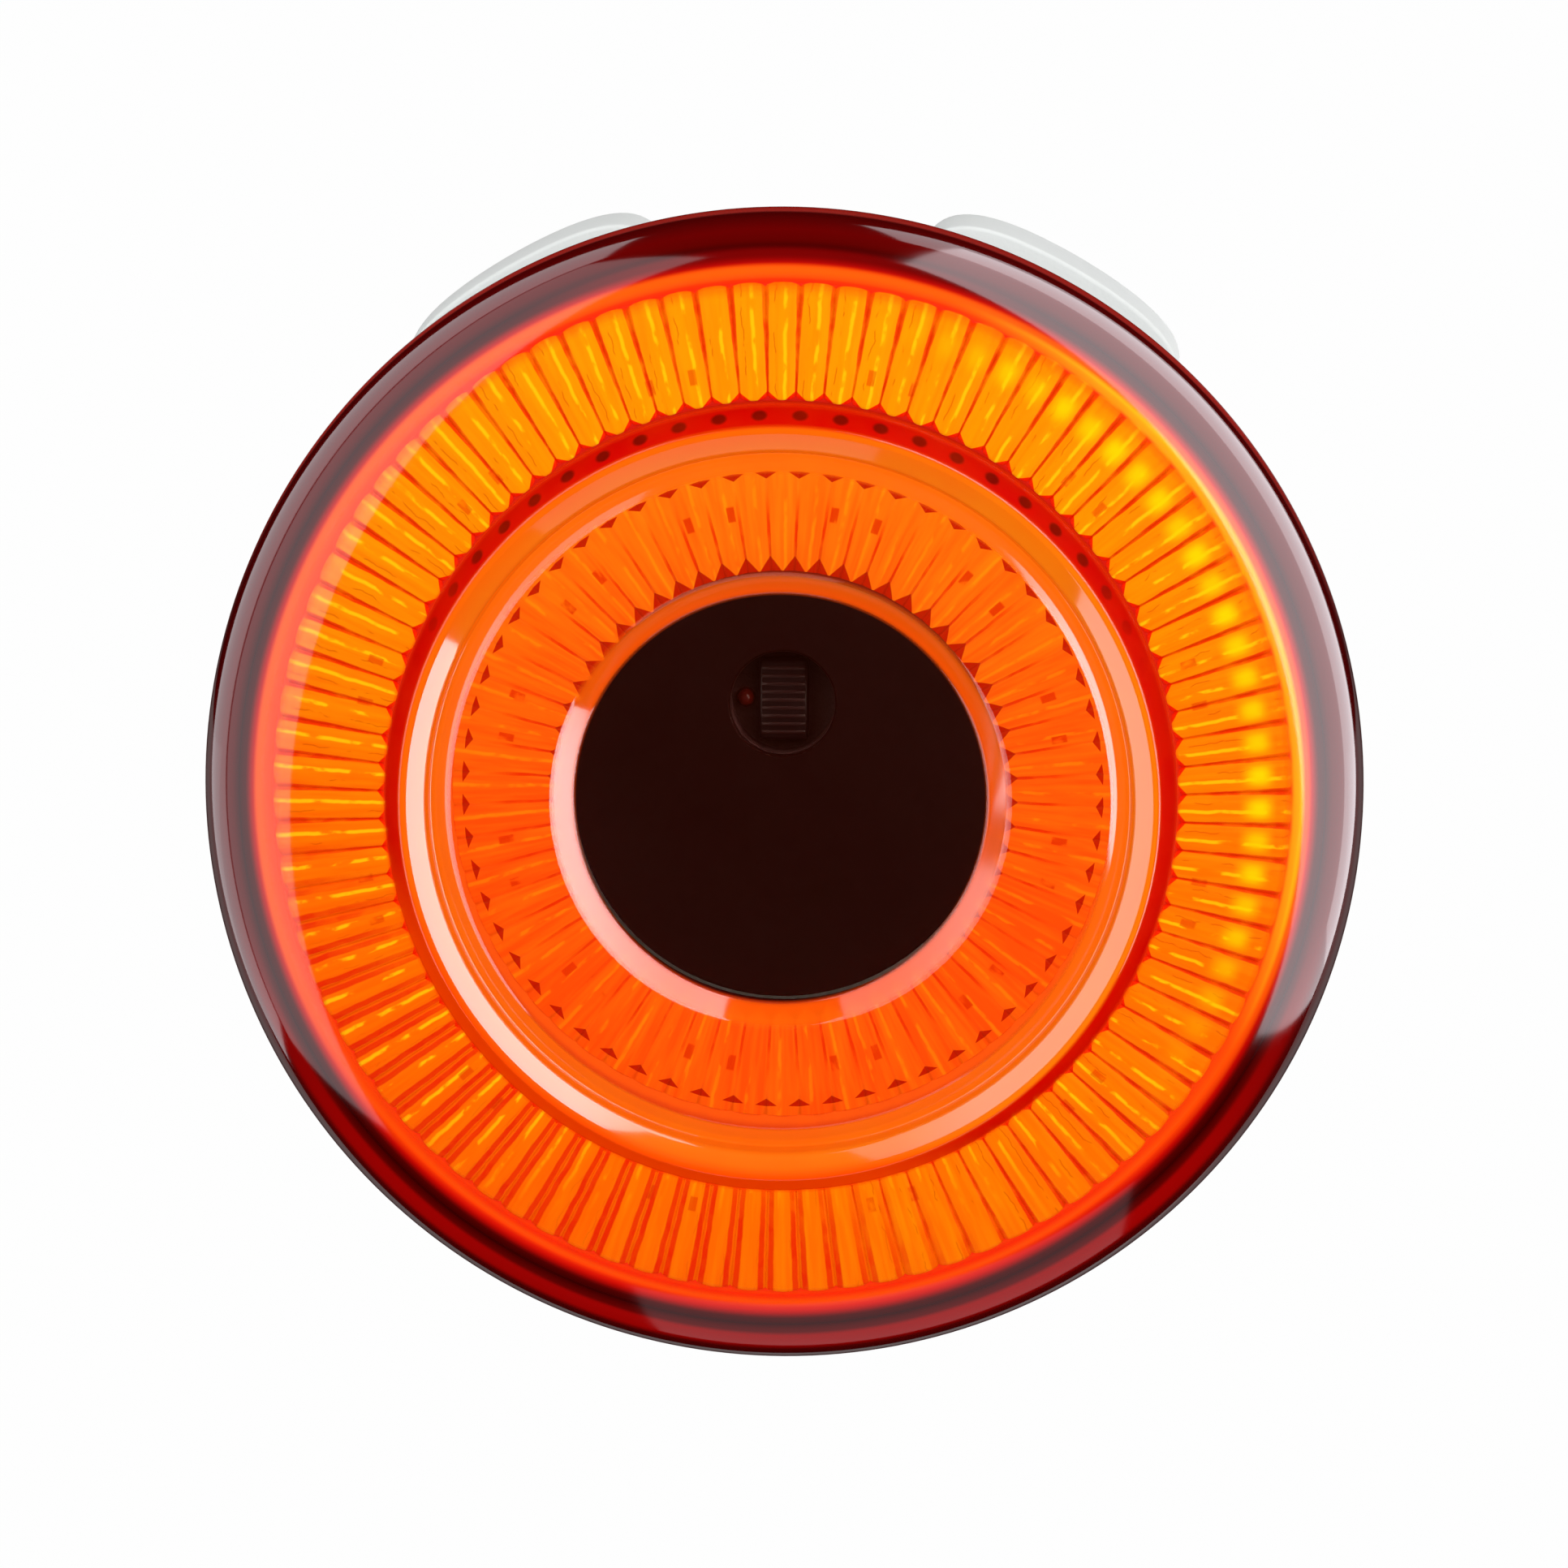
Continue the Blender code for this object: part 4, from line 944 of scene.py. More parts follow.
    def _hue(self, paint: Paint, radius: Value, turn: Value, sunk: Value) -> Socket:
        """Colour of the front: its stepped hues, bands of painted light and shade that change round the face,
        row of dots and mottle.

        Args:
            paint: the material.
            radius: radius on the face.
            turn: angle in turns.
            sunk: the radius, set lower near the shoulder.

        Returns:
            The colour.
        """
        top = paint.toward(0, self.radius)
        under = paint.toward(180, self.radius).rise(0.15, 0.75)
        right = paint.toward(70, self.radius).rise(0.55, 0.86)
        beside = (abs(paint.place[0]) / self.radius).rise(0.4, 0.85)
        lip_right = paint.toward(90, self.dot_radius).rise(-0.1, 0.8)
        lip_under = paint.toward(26, self.dot_radius).fall(-0.8, -0.5)
        dots_shown = paint.toward(0, self.dot_radius).rise(0.3, 0.7)
        mottle = (paint.noise(0.5, 2.0) - 0.5) * 0.3 + 0.08
        layers = [
            # painted light: the shoulder's bright band, left out towards the bottom
            (sunk.band(*self.bright_band) * (1.0 - under) * 0.9, tone(255, 96, 6)),
            # painted light: a brighter shoulder band at the left and right
            (sunk.band(*self.side_band) * beside * 0.85, tone(255, 94, 2)),
            # painted light: a yellow ring on the right-hand side
            (sunk.band(*self.ring_band) * right * 0.9, tone(255, 222, 24)),
            # painted light: a lighter red band on the rim towards the bottom
            (radius.band(*self.ember_band) * under * 0.9, tone(165, 2, 1)),
            # painted reflection: a pinkish line along the rim's outer edge at the top
            (radius.rise(*self.rim_start) * top.rise(0.2, 0.7) * 0.9, tone(170, 32, 22)),
            # painted shade: a darker red band on the rim at the top
            (sunk.band(*self.crown_band) * top.rise(0.8, 0.97) * 0.6, tone(145, 2, 2)),
            # painted light: the lip is yellower towards the right
            (radius.band(*self.lip_band) * lip_right * 0.45, tone(255, 146, 10)),
            # painted shade: the lip is redder towards the lower left
            (radius.band(*self.low_lip_band) * lip_under * 0.85, tone(255, 72, 0)),
            (self._dots(radius, turn) * dots_shown * 0.85, tone(80, 0, 0)),
            (mottle * radius.fall(*self.mottle_end), tone(255, 60, 0)),
        ]
        return paint.layered(paint.ramp(sunk, self.hues, self.radius + self.hue_room), layers)

    def _dots(self, radius: Value, turn: Value) -> Value:
        """The row of dots on the lip's wall.

        Args:
            radius: radius on the face.
            turn: angle in turns.

        Returns:
            The dots, from 0 to 1.
        """
        pitch = math.tau * self.dot_radius / self.wall_dots
        flat = ((turn * self.wall_dots).fraction() - 0.5) * pitch / self.dot_size[0]
        tall = (radius - self.dot_radius) / self.dot_size[1]
        return (flat * flat + tall * tall).root().fall(0.6, 1.1)

    def inside(self) -> Material:
        """The lens's inner faces, which only add a faint sheen.

        Returns:
            The material.
        """
        paint = Paint("clear_orange_inside")
        base = paint.mix(paint.noise(0.5, 2.0), tone(255, 80, 0), tone(255, 110, 5))
        clear = paint.node("ShaderNodeBsdfTransparent", inputs={"Color": self.inner_tint}).outputs[0]
        body = paint.body(Base_Color=base, Roughness=0.1, IOR=self.index)
        return paint.done(paint.lit_through(paint.blended(self.inner_sheen, clear, body)))

    def _shine(self, paint: Paint, seen: Socket, share: Value) -> Socket:
        """Surface reflections over a clear part.

        Args:
            paint: the material.
            seen: the shader below.
            share: where the surface is clear.

        Returns:
            The shader with its reflections.
        """
        fresnel = paint.value(paint.node("ShaderNodeFresnel", inputs={"IOR": self.index}).outputs[0])
        inputs = {"Color": (1.0, 1.0, 1.0), "Roughness": self.smoothness}
        gloss = paint.node("ShaderNodeBsdfGlossy", inputs=inputs).outputs[0]
        return paint.blended(fresnel.math("MINIMUM", self.veil) * share, seen, gloss)


@dataclass(frozen=True)
class FluteGlow:
    """Orange plastic of one ring of flutes with the LEDs' marks behind, and painted light and shade: lighter
    towards the top, dark lines of painted shade in the valleys and towards the lower left, painted highlights
    along the crowns and a painted yellow light on the right.
    """

    name: str
    flutes: int
    light: Colour
    middle: Colour
    line: Colour
    line_depth: float
    gleam_depth: float
    led_radius: float
    led_depth: float
    gleam: Colour = tone(255, 214, 16)
    deep: Colour = tone(255, 62, 0)
    led_count: int = 12
    mark_apart: float = 0.75
    mark_size: Point = (0.14, 0.28)
    notches: Point = (0.0, 100.0)
    notch_slopes: Point = (0.9, 1.4)
    notch_fade: float = 0.0
    notch: Colour = tone(190, 0, 0)
    line_start: float = 13.8
    line_growth: float = 0.02
    line_width: float = 0.055
    line_fade: Point = (98.0, 99.0)
    rib_shade: Colour = tone(200, 56, 0)
    glow: Colour = tone(255, 224, 0)
    glow_band: Band = (15.7, 16.4, 16.5, 17.1)
    led_mark: Colour = tone(222, 36, 0)
    notch_end: Point = (0.24, 0.28)
    soft_edge: float = 0.03
    reach: float = 17.0
    index: float = 1.5
    gloss: float = 0.12
    gloss_tint: Colour = tone(255, 215, 80)

    def make(self) -> Material:
        """The material, patterned by radius and angle.

        Returns:
            The material.
        """
        paint = Paint(self.name)
        radius, turn = paint.polar()
        along = (turn + 0.5 + 0.5 / self.flutes).fraction() * self.flutes
        side = along.fraction() - 0.5
        valley = abs(side)
        own = paint.noise(1.0, 0.0, paint.vector(along.whole() * 7.31, 3.7, 0.0))
        streaks = paint.noise(1.0, 3.0, paint.vector(along * 5.0, radius * 0.35, 1.3))
        broken = paint.noise(1.0, 3.0, paint.vector(along * 2.3, radius * 1.1, 8.4))
        wander = paint.noise(1.0, 2.0, paint.vector(along.whole() * 5.1, radius * 1.4, 2.6)) * 0.24 - 0.12
        high = paint.toward(0, self.reach).rise(-0.2, 1.0)
        low = paint.toward(225, self.reach).rise(0.424, 1.061)
        under = paint.toward(212, self.reach).rise(0.5, 0.8)
        bottom = paint.toward(180, self.reach).rise(0.6, 0.9)
        right = paint.toward(70, self.reach).rise(0.45, 0.9)
        # painted light: lighter and yellower towards the top, with random streaks and a random tone for each
        # flute
        lightness = high * 0.75 + (streaks - 0.5) * 1.1 + (own - 0.5) * 0.4 + 0.12
        lines = self._lines(radius, valley, wander, under)
        # random breaks in the painted valley shade, which stays whole towards the lower left
        breaks_and_shade = (broken.rise(0.3, 0.6) * 0.5 + 0.5).math("MAXIMUM", under * 0.9)
        # painted highlights along the flutes' crowns, left out towards the bottom
        gleams = abs(side - 0.1 + wander * 0.5).fall(0.02, 0.09) * broken.rise(0.42, 0.54)
        # painted shade: a thin dark line down one side of each flute, weaker towards the lower left
        rib_shade_lines = abs(side + 0.2 + wander * 1.4).fall(0.005, 0.035) * broken.rise(0.5, 0.58)
        # painted light: a yellow glow on the flutes' outer parts on the right-hand side
        glow = right * radius.band(*self.glow_band) * valley.fall(0.05, 0.5) * (own + 0.4)
        marks = self._led_marks(radius, turn) * broken.rise(0.3, 0.5)
        layers = [
            # painted shade: redder towards the lower left
            (low * 0.4, self.deep),
            (lines * breaks_and_shade * self.line_depth, self.line),
            (gleams * (1.0 - bottom) * self.gleam_depth, self.gleam),
            (rib_shade_lines * (1.0 - under * 0.6) * self.gleam_depth * 0.7, self.rib_shade),
            (glow * self.gleam_depth * 1.2, self.glow),
            (marks * self.led_depth, self.led_mark),
            (self._notches(radius, valley) * (1.0 - bottom * self.notch_fade), self.notch),
        ]
        shader = paint.body(
            Base_Color=paint.layered(paint.mix(lightness, self.middle, self.light), layers),
            Roughness=0.22 + streaks * 0.12,
            IOR=self.index,
            Specular_IOR_Level=self.gloss,
            Specular_Tint=self.gloss_tint,
        )
        return paint.done(shader)

    def _lines(self, radius: Value, valley: Value, wander: Value, under: Value) -> Value:
        """Painted shade along the flutes: a dark line in each valley, and two towards the lower left.

        Args:
            radius: radius on the face.
            valley: nearness to the valley beside the flute, 0.5 in it.
            wander: how far a line strays sideways.
            under: where the lines are double.

        Returns:
            The lines, from 0 to 1.
        """
        wedge = (radius - self.line_start) * self.line_growth + self.line_width
        single = (valley + wedge + wander * 0.25 - 0.5).rise(0.0, 0.04) * (1.0 - under * 0.75)
        double = abs(valley + wander * 0.3 - 0.36).fall(0.06, 0.11) * under * self.gleam_depth * 1.4
        return single.math("MAXIMUM", double) * radius.fall(*self.line_fade)

    def _notches(self, radius: Value, valley: Value) -> Value:
        """Notches between the flutes, at their inner and outer ends.

        Args:
            radius: radius on the face.
            valley: nearness to the valley beside the flute, 0.5 in it.

        Returns:
            The notches, from 0 to 1.
        """
        inner, outer = self.notches
        inner_slope, outer_slope = self.notch_slopes
        shown = radius.fall(outer + self.notch_end[0], outer + self.notch_end[1])
        widths = ((radius - outer) * outer_slope * shown).math("MAXIMUM", (inner - radius) * inner_slope)
        return (valley + widths - 0.5).rise(0.0, self.soft_edge) * widths.rise(0.0, self.soft_edge)

    def _led_marks(self, radius: Value, turn: Value) -> Value:
        """Pairs of marks at the LEDs' ends.

        Args:
            radius: radius on the face.
            turn: angle in turns.

        Returns:
            The marks, from 0 to 1.
        """
        pitch = math.tau * self.led_radius / self.led_count
        sideways = abs(((turn * self.led_count).fraction() - 0.5) * pitch)
        flat = (sideways - self.mark_apart) / self.mark_size[0]
        tall = (radius - self.led_radius) / self.mark_size[1]
        return abs(flat).fall(0.8, 1.1) * abs(tall).fall(0.8, 1.1)


@dataclass(frozen=True)
class DiscGlow:
    """Orange plastic of the diffuser's disc, dark red in the notches at the flutes' ends."""

    radius: float

    def make(self) -> Material:
        """The material, ringed by radius.

        Returns:
            The material.
        """
        paint = Paint("diffuser_disc")
        radius, _ = paint.polar()
        mottle = paint.noise(1.4, 2.0)
        hues = [
            # Under the mask
            (0.0, tone(60, 0, 0)), (7.75, tone(110, 0, 0)), (8.0, tone(130, 0, 0)),
            # Inner flutes
            (8.3, tone(240, 50, 0)), (10.9, tone(255, 85, 0)), (11.6, tone(255, 90, 0)),
            # Under the lip
            (12.0, tone(200, 5, 0)), (14.1, tone(212, 0, 0)),
            # Outer flutes and flange
            (14.4, tone(230, 25, 0)), (17.2, tone(244, 34, 0)),
            (17.6, tone(252, 40, 0)), (18.2, tone(255, 60, 0)),
        ]
        base = paint.mix(mottle * 0.25, paint.ramp(radius, hues, self.radius), tone(160, 10, 0))
        return paint.done(paint.body(Base_Color=base, Roughness=0.4 + mottle * 0.1, Specular_IOR_Level=0.08))


@dataclass(frozen=True)
class Board:
    """White solder mask on a circuit board, with faint tracks under it."""

    def make(self) -> Material:
        """The material, with tracks as a grid of soft lines.

        Returns:
            The material.
        """
        paint = Paint("white_board")
        across, up, _ = paint.place
        tracks = abs((across * 0.9).fraction() - 0.5).fall(0.1, 0.2)
        grid = tracks * abs((up * 0.23).fraction() - 0.5).rise(0.05, 0.1)
        mottle = paint.noise(2.0, 3.0)
        base = paint.mix(grid * 0.5, tone(232, 234, 228), tone(205, 214, 200))
        rough = 0.35 + mottle * 0.15
        return paint.done(paint.body(Base_Color=base, Roughness=rough, Normal=paint.bump(grid, 0.03)))


@dataclass
class Lens:
    """The stepped front lens."""

    skirt_wall: float = 1.6
    wall: float = 0.9
    rim_height: float = 0.8
    shoulder_width: float = 2.6
    shoulder_height: float = 2.3
    cone_rise: float = 1.1
    lip_radius: float = 13.07
    lip_height: float = 1.6
    lip_draft: float = 0.58
    lip_slope: Point = (0.7, 0.43)
    groove_inner: float = 11.85
    groove_outer: float = 12.05
    groove_depth: float = 0.3
    plateau_rise: float = 0.8
    plateau_outer: float = 11.42
    plateau_slope: Point = (0.46, 0.22)
    window_radius: float = 7.1
    window_depth: float = 0.8
    well_slope: float = 0.85
    fit_gap: float = 0.2
    flute_end: float = 0.25
    edge_round: float = 0.18
    lip_land: float = 0.2
    groove_lead: float = 0.12
    plateau_drop: float = 0.82
    brow_start: Point = (2.95, -0.4)
    brow_end: Point = (0.0, 2.1)

    def __post_init__(self) -> None:
        """Take the lens's place from the frame and work out its steps."""
        self.radius = span("front_lens", Axis.ACROSS)[1]
        self.bottom = span("front_lens", Axis.OUT)[0]
        self.rim_top = self.bottom + self.rim_height
        self.cone_outer = self.rim_top + self.shoulder_height
        self.cone_inner = self.cone_outer + self.cone_rise
        self.lip_top = self.cone_inner + self.lip_height
        self.plateau = self.cone_inner + self.plateau_rise
        self.window = self.plateau - self.window_depth
        self.groove_floor = self.plateau - self.groove_depth
        self.plateau_back = self.cone_inner - self.plateau_drop
        self.window_back = self.cone_inner - 2 * self.wall
        self.skirt_inner = self.radius - self.skirt_wall
        self.cone_start = self.radius - self.shoulder_width
        self.lip_foot = self.lip_radius + self.lip_draft
        self.plateau_inner = self.window_radius + self.well_slope

    def cone_height(self, radius: float) -> float:
        """Height of the straight cone at a radius."""
        share = (self.cone_start - radius) / (self.cone_start - self.lip_foot)
        return self.cone_outer + self.cone_rise * share

    def front(self) -> list[Point]:
        """The section of the front.

        Returns:
            The points, from the window's middle to the foot of the rim.
        """
        edge_width, edge_drop = self.plateau_slope
        slope_width, slope_drop = self.lip_slope
        slope_top = self.lip_radius - self.lip_land
        edge_start = self.groove_inner - self.groove_lead - edge_width
        corners = [
            (0.0, self.window, 0.0),
            (self.window_radius, self.window, 0.12),
            (self.plateau_inner, self.plateau, 0.25),
            (edge_start, self.plateau, 0.12),
            (edge_start + edge_width, self.plateau - edge_drop, 0.1),
            (self.groove_inner, self.groove_floor, 0.08),
            (self.groove_outer, self.groove_floor, 0.08),
            (slope_top - slope_width, self.lip_top - slope_drop, 0.15),
            (slope_top, self.lip_top, 0.1),
            (self.lip_radius, self.lip_top, 0.08),
            (self.lip_foot, self.cone_inner, 0.0),
        ]
        steps = rounded(corners, ARC_POINTS)
        return [*steps, *self.brow()[1:], (self.radius, self.bottom + self.edge_round)]

    def brow(self) -> list[Point]:
        """The smooth curve of the cone and the shoulder.

        Returns:
            The points, from the lip's foot to the top of the rim.
        """
        first = Vector((self.lip_foot, self.cone_inner))
        last = Vector((self.radius, self.rim_top))
        second = first + Vector(self.brow_start)
        third = last + Vector(self.brow_end)
        curve = []
        count = 5 * ARC_POINTS
        for i in range(count + 1):
            share = i / count
            middle = second.lerp(third, share)
            near = first.lerp(second, share).lerp(middle, share)
            far = middle.lerp(third.lerp(last, share), share)
            curve.append(tuple(near.lerp(far, share)))
        return curve

    def inside(self) -> list[Point]:
        """The section of the foot and the inner faces.

        Returns:
            The points, from the rim back to the axis.
        """
        skirt_top = self.cone_height(self.skirt_inner - self.fit_gap) - self.wall
        lip_back = self.lip_foot - self.fit_gap
        window_edge = self.plateau_inner + self.wall
        return [
            (self.radius - self.edge_round, self.bottom),
            (self.skirt_inner, self.bottom),
            (self.skirt_inner, skirt_top),
            (self.cone_start, self.cone_height(self.cone_start) - self.wall),
            (lip_back, self.cone_height(lip_back) - self.wall),
            (lip_back - self.fit_gap, self.window_back),
            (self.plateau_outer + self.flute_end, self.window_back),
            (self.plateau_outer, self.plateau_back),
            (window_edge, self.plateau_back),
            (window_edge - self.flute_end, self.window_back),
            (0.0, self.window_back),
        ]

    def build(self) -> None:
        """Turn the lens and dress its front and its inside."""
        front = self.front()
        inside = self.inside()
        slots = [0] * len(front) + [1] * len(inside)
        finish = ClearLens(self.radius)
        dress = [finish.front(), finish.inside()]
        shape = lathe(front + inside, slots=slots)
        piece("lens_shell", shape, dress, Body.LAMP, ["front_lens"], sharp=50)


@dataclass
class Diffuser:
    """The disc under the lens with its two rings of flutes."""

    lens: Lens
    ring: CopyTree
    flute_height: float = 0.12
    inner_height: float = 0.05
    outer_flutes: int = 90
    inner_flutes: int = 60
    seat_gap: float = 0.2
    wall: float = 0.6
    flange: float = 0.6
    inner_start: float = 7.6
    inner_end: float = 11.4
    land_step: float = 0.45
    sunk: float = 0.12
    hole_gap: float = 0.3
    lip_lap: float = 0.02
    edge_round: float = 0.1
    end_rounds: Point = (0.6, 0.45)
    outer_soft: float = 0.6
    inner_soft: float = 0.12
    end_angles: Place = (0.0, 30.0, 60.0)
    straight_places: Point = (0.4, 0.65)
    crown_places: tuple[float, ...] = (-1.0, -0.82, -0.45, 0.0, 0.45, 0.82, 1.0)

    def __post_init__(self) -> None:
        """Work out the rings from the lens."""
        lens = self.lens
        self.radius = lens.skirt_inner - lens.fit_gap
        self.hole = lens.window_radius + self.hole_gap
        self.land = lens.window_back - self.seat_gap - self.flute_height
        self.outer_start = lens.lip_foot - self.lip_lap
        self.outer_end = self.radius - self.flange
        self.bottom = span("fluted_diffuser", Axis.OUT)[0]

    def valley(self, radius: float) -> float:
        """Height of the valleys between the outer flutes."""
        return self.lens.cone_height(radius) - self.lens.wall - self.seat_gap - self.flute_height

    def flute(
        self, start: float, end: float, count: int, base: Callable[[float], float], height: float, soft: float
    ) -> Shape:
        """One flute along twelve o'clock, rounded at both ends.

        Args:
            start: inner radius.
            end: outer radius.
            count: flutes in the ring.
            base: height of the disc at a radius.
            height: height of its crown.
            soft: share of the full round at its ends.

        Returns:
            The closed shape of the flute.
        """
        half = math.pi / count
        inner_reach = start * half * self.end_rounds[0] * soft
        outer_reach = end * half * self.end_rounds[1] * soft
        shares = [math.sin(math.radians(angle)) for angle in self.end_angles]
        stations = [(start + inner_reach * (1 - s), math.sqrt(1 - s * s)) for s in reversed(shares)]
        stations += [(start + (end - start) * s, 1.0) for s in self.straight_places]
        stations += [(end - outer_reach * (1 - s), math.sqrt(1 - s * s)) for s in shares]
        shape = bmesh.new()
        rows = []
        for radius, fullness in stations:
            row = []
            for share in self.crown_places:
                angle = half * fullness * share
                rise = height * fullness * (1 - share * share)
                place = (radius * math.sin(angle), radius * math.cos(angle), base(radius) + rise)
                row.append(shape.verts.new(place))
            rows.append(row)
        for lower, upper in zip(rows, rows[1:]):
            for k in range(len(lower) - 1):
                shape.faces.new((lower[k], lower[k + 1], upper[k + 1], upper[k]))
        for row, tip in ((rows[0], start), (rows[-1], end)):
            point = shape.verts.new((0.0, tip, base(tip)))
            for k in range(len(row) - 1):
                shape.faces.new((row[k], row[k + 1], point))
        border = [edge for edge in shape.edges if edge.is_boundary]
        skirt = bmesh.ops.extrude_edge_only(shape, edges=border)["geom"]
        lowered = [item for item in skirt if isinstance(item, bmesh.types.BMVert)]
        bmesh.ops.translate(shape, verts=lowered, vec=(0.0, 0.0, -self.sunk))
        bmesh.ops.holes_fill(shape, edges=[edge for edge in shape.edges if edge.is_boundary])
        bmesh.ops.recalc_face_normals(shape, faces=shape.faces)
        return shape

    def flutes(
        self, finish: FluteGlow, start: float, end: float, base: Callable[[float], float], *form: float
    ) -> None:
        """A ring of flutes as one piece.

        Args:
            finish: its finish, which names the piece and gives the number of flutes.
            start: inner radius.
            end: outer radius.
            base: height of the disc at a radius.
            form: height of the crowns and softness of the ends.
        """
        material = finish.make()
        count = finish.flutes
        single = self.flute(start, end, count, base, *form)
        shape = self.ring.repeat(single, count, (0.0, 0.0, -math.tau / count), (0.0, 0.0, 0.0), material)
        piece(finish.name, shape, [material], Body.LAMP, ["fluted_diffuser"], sharp=70)

    def build(self) -> None:
        """Build the disc and both rings of flutes."""
        step_foot = self.outer_start - self.land_step
        flange_top = self.valley(self.outer_end)
        edge = self.edge_round
        corners = [
            (self.hole, self.land - self.wall, 0.0),
            (self.hole, self.land, edge),
            (step_foot, self.land, edge),
            (self.outer_start, self.valley(self.outer_start), edge),
            (self.outer_end, flange_top, edge),
            (self.radius, flange_top, edge),
            (self.radius, self.bottom, edge),
            (self.outer_end, self.bottom, edge),
            (step_foot, self.land - self.wall, 0.0),
        ]
        shape = lathe(rounded(corners, 4), closed=True)
        finish = DiscGlow(self.lens.radius).make()
        piece("diffuser_disc", shape, [finish], Body.LAMP, ["fluted_diffuser"])
        outer = FluteGlow(
            "outer_flutes",
            self.outer_flutes,
            light=tone(255, 158, 0),
            middle=tone(255, 116, 0),
            line=tone(234, 16, 0),
            line_depth=0.9,
            gleam_depth=0.75,
            led_radius=14.7,
            led_depth=0.6,
            notches=(self.outer_start + 0.34, 100.0),
            notch_slopes=(1.2, 1.4),
            notch_fade=0.9,
            notch=tone(238, 0, 0),
        )
        inner = FluteGlow(
            "inner_flutes",
            self.inner_flutes,
            light=tone(255, 128, 12),
            middle=tone(255, 76, 8),
            line=tone(232, 28, 0),
            line_depth=0.9,
            gleam_depth=0.15,
            led_radius=9.7,
            led_depth=0.85,
            notches=(8.14, 10.8),
            line_growth=0.0,
            line_width=0.075,
            line_fade=(9.0, 10.6),
        )
        form = (self.flute_height, self.outer_soft)
        self.flutes(outer, self.outer_start, self.outer_end, self.valley, *form)
        form = (self.inner_height, self.inner_soft)
        self.flutes(inner, self.inner_start, self.inner_end, lambda _: self.land, *form)


@dataclass
class SensorWindow:
    """The dark disc under the window, with the sensor and the pip behind its opening."""

    row: CopyTree
    aperture_rise: float = 3.0
    aperture: float = 1.8
    edge: float = 0.08
    bands: int = 9
    band_size: Place = (1.5, 0.12, 0.05)
    band_pitch: float = 0.28
    band_edge: float = 0.02
    shade_floor: float = 0.06
    chamfer: float = 0.1

    def build(self) -> None:
        """Build the disc, the tube, the sensor with its bands, and the pip."""
        self._mask()
        self._shroud()
        self._sensor()
        self._pip()

    def _mask(self) -> None:
        """The disc with its opening."""
        radius = span("sensor_mask", Axis.ACROSS)[1]
        back, top = span("sensor_mask", Axis.OUT)
        depth = top - back
        reach = self.aperture
        wide = reach + self.chamfer
        corners = [
            (0.0, top + depth, 0),
            (wide, top + depth, 0),
            (wide, top + 0.02, 0),
            (reach, top - self.chamfer, 0.05),
            (reach, back - depth, 0),
            (0.0, back - depth, 0),
        ]
        cutter = moved(lathe(rounded(corners), 2 * SMALL_STEPS), up=self.aperture_rise)
        shape = cut(disc(radius, back, top, self.edge), cutter)
        finish = Moulded("dark_film", tone(25, 2, 1), 0.35, 2.0, 0.0004, 0.2, 0.1).make()
        piece("dark_disc", shape, [finish], Body.LAMP, ["sensor_mask"])

    def _shroud(self) -> None:
        """The foam tube behind the opening, with a thin dark floor over the board that stands in for the
        shade inside the tube.
        """
        back, top = span("sensor_shroud", Axis.OUT)
        radius = span("sensor_shroud", Axis.ACROSS)[1]
        # painted shade: a dark floor in the tube hides the white board, which lies in shade
        floor = back + self.shade_floor
        corners = [
            (0.0, floor, 0),
            (self.aperture, floor, 0.03),
            (self.aperture, top, 0.1),
            (radius, top, 0.1),
            (radius, back, 0.1),
            (0.0, back, 0),
        ]
        shape = moved(lathe(rounded(corners), SMALL_STEPS), up=self.aperture_rise)
        finish = Moulded("foam_tube", tone(44, 6, 3), 0.85, 14.0, 0.03, 0.3).make()
        piece("foam_tube", shape, [finish], Body.LAMP, ["sensor_shroud"])

    def _sensor(self) -> None:
        """The sensor's block and the bands across its face."""
        (left, right), (low, high), (back, top) = (span("light_sensor", axis) for axis in Axis)
        steps = ((0.0, back), (0.0, top - 0.1), (0.04, top - 0.03), (0.12, top))
        block = moved(stack(tiers((right - left, high - low), 0.15, steps, 4)), up=self.aperture_rise)
        finish = Moulded("sensor_resin", tone(20, 3, 3), 0.3, 6.0, 0.004, 0.3).make()
        piece("sensor_block", block, [finish], Body.LAMP, ["light_sensor"])
        band = bar(self.band_size, self.band_edge)
        start = (0.0, self.aperture_rise - self.band_pitch * (self.bands - 1) / 2, top)
        lines = Moulded("sensor_bands", tone(36, 6, 5), 0.35, 6.0, 0.004, 0.3).make()
        shape = self.row.repeat(band, self.bands, (0.0, self.band_pitch, 0.0), start, lines)
        piece("sensor_bands", shape, [lines], Body.LAMP)

    def _pip(self) -> None:
        """The domed charge LED."""
        left, right = span("charge_led", Axis.ACROSS)
        back, top = span("charge_led", Axis.OUT)
        radius = (right - left) / 2
        profile = [*arc((0.0, back), radius, top - back, 0, 90), (0.0, back)]
        shape = moved(lathe(profile, SMALL_STEPS), (left + right) / 2, self.aperture_rise)
        finish = Moulded("red_resin", tone(82, 12, 6), 0.2, 6.0, 0.003, 0.2).make()
        piece("charge_pip", shape, [finish], Body.LAMP, ["charge_led"])


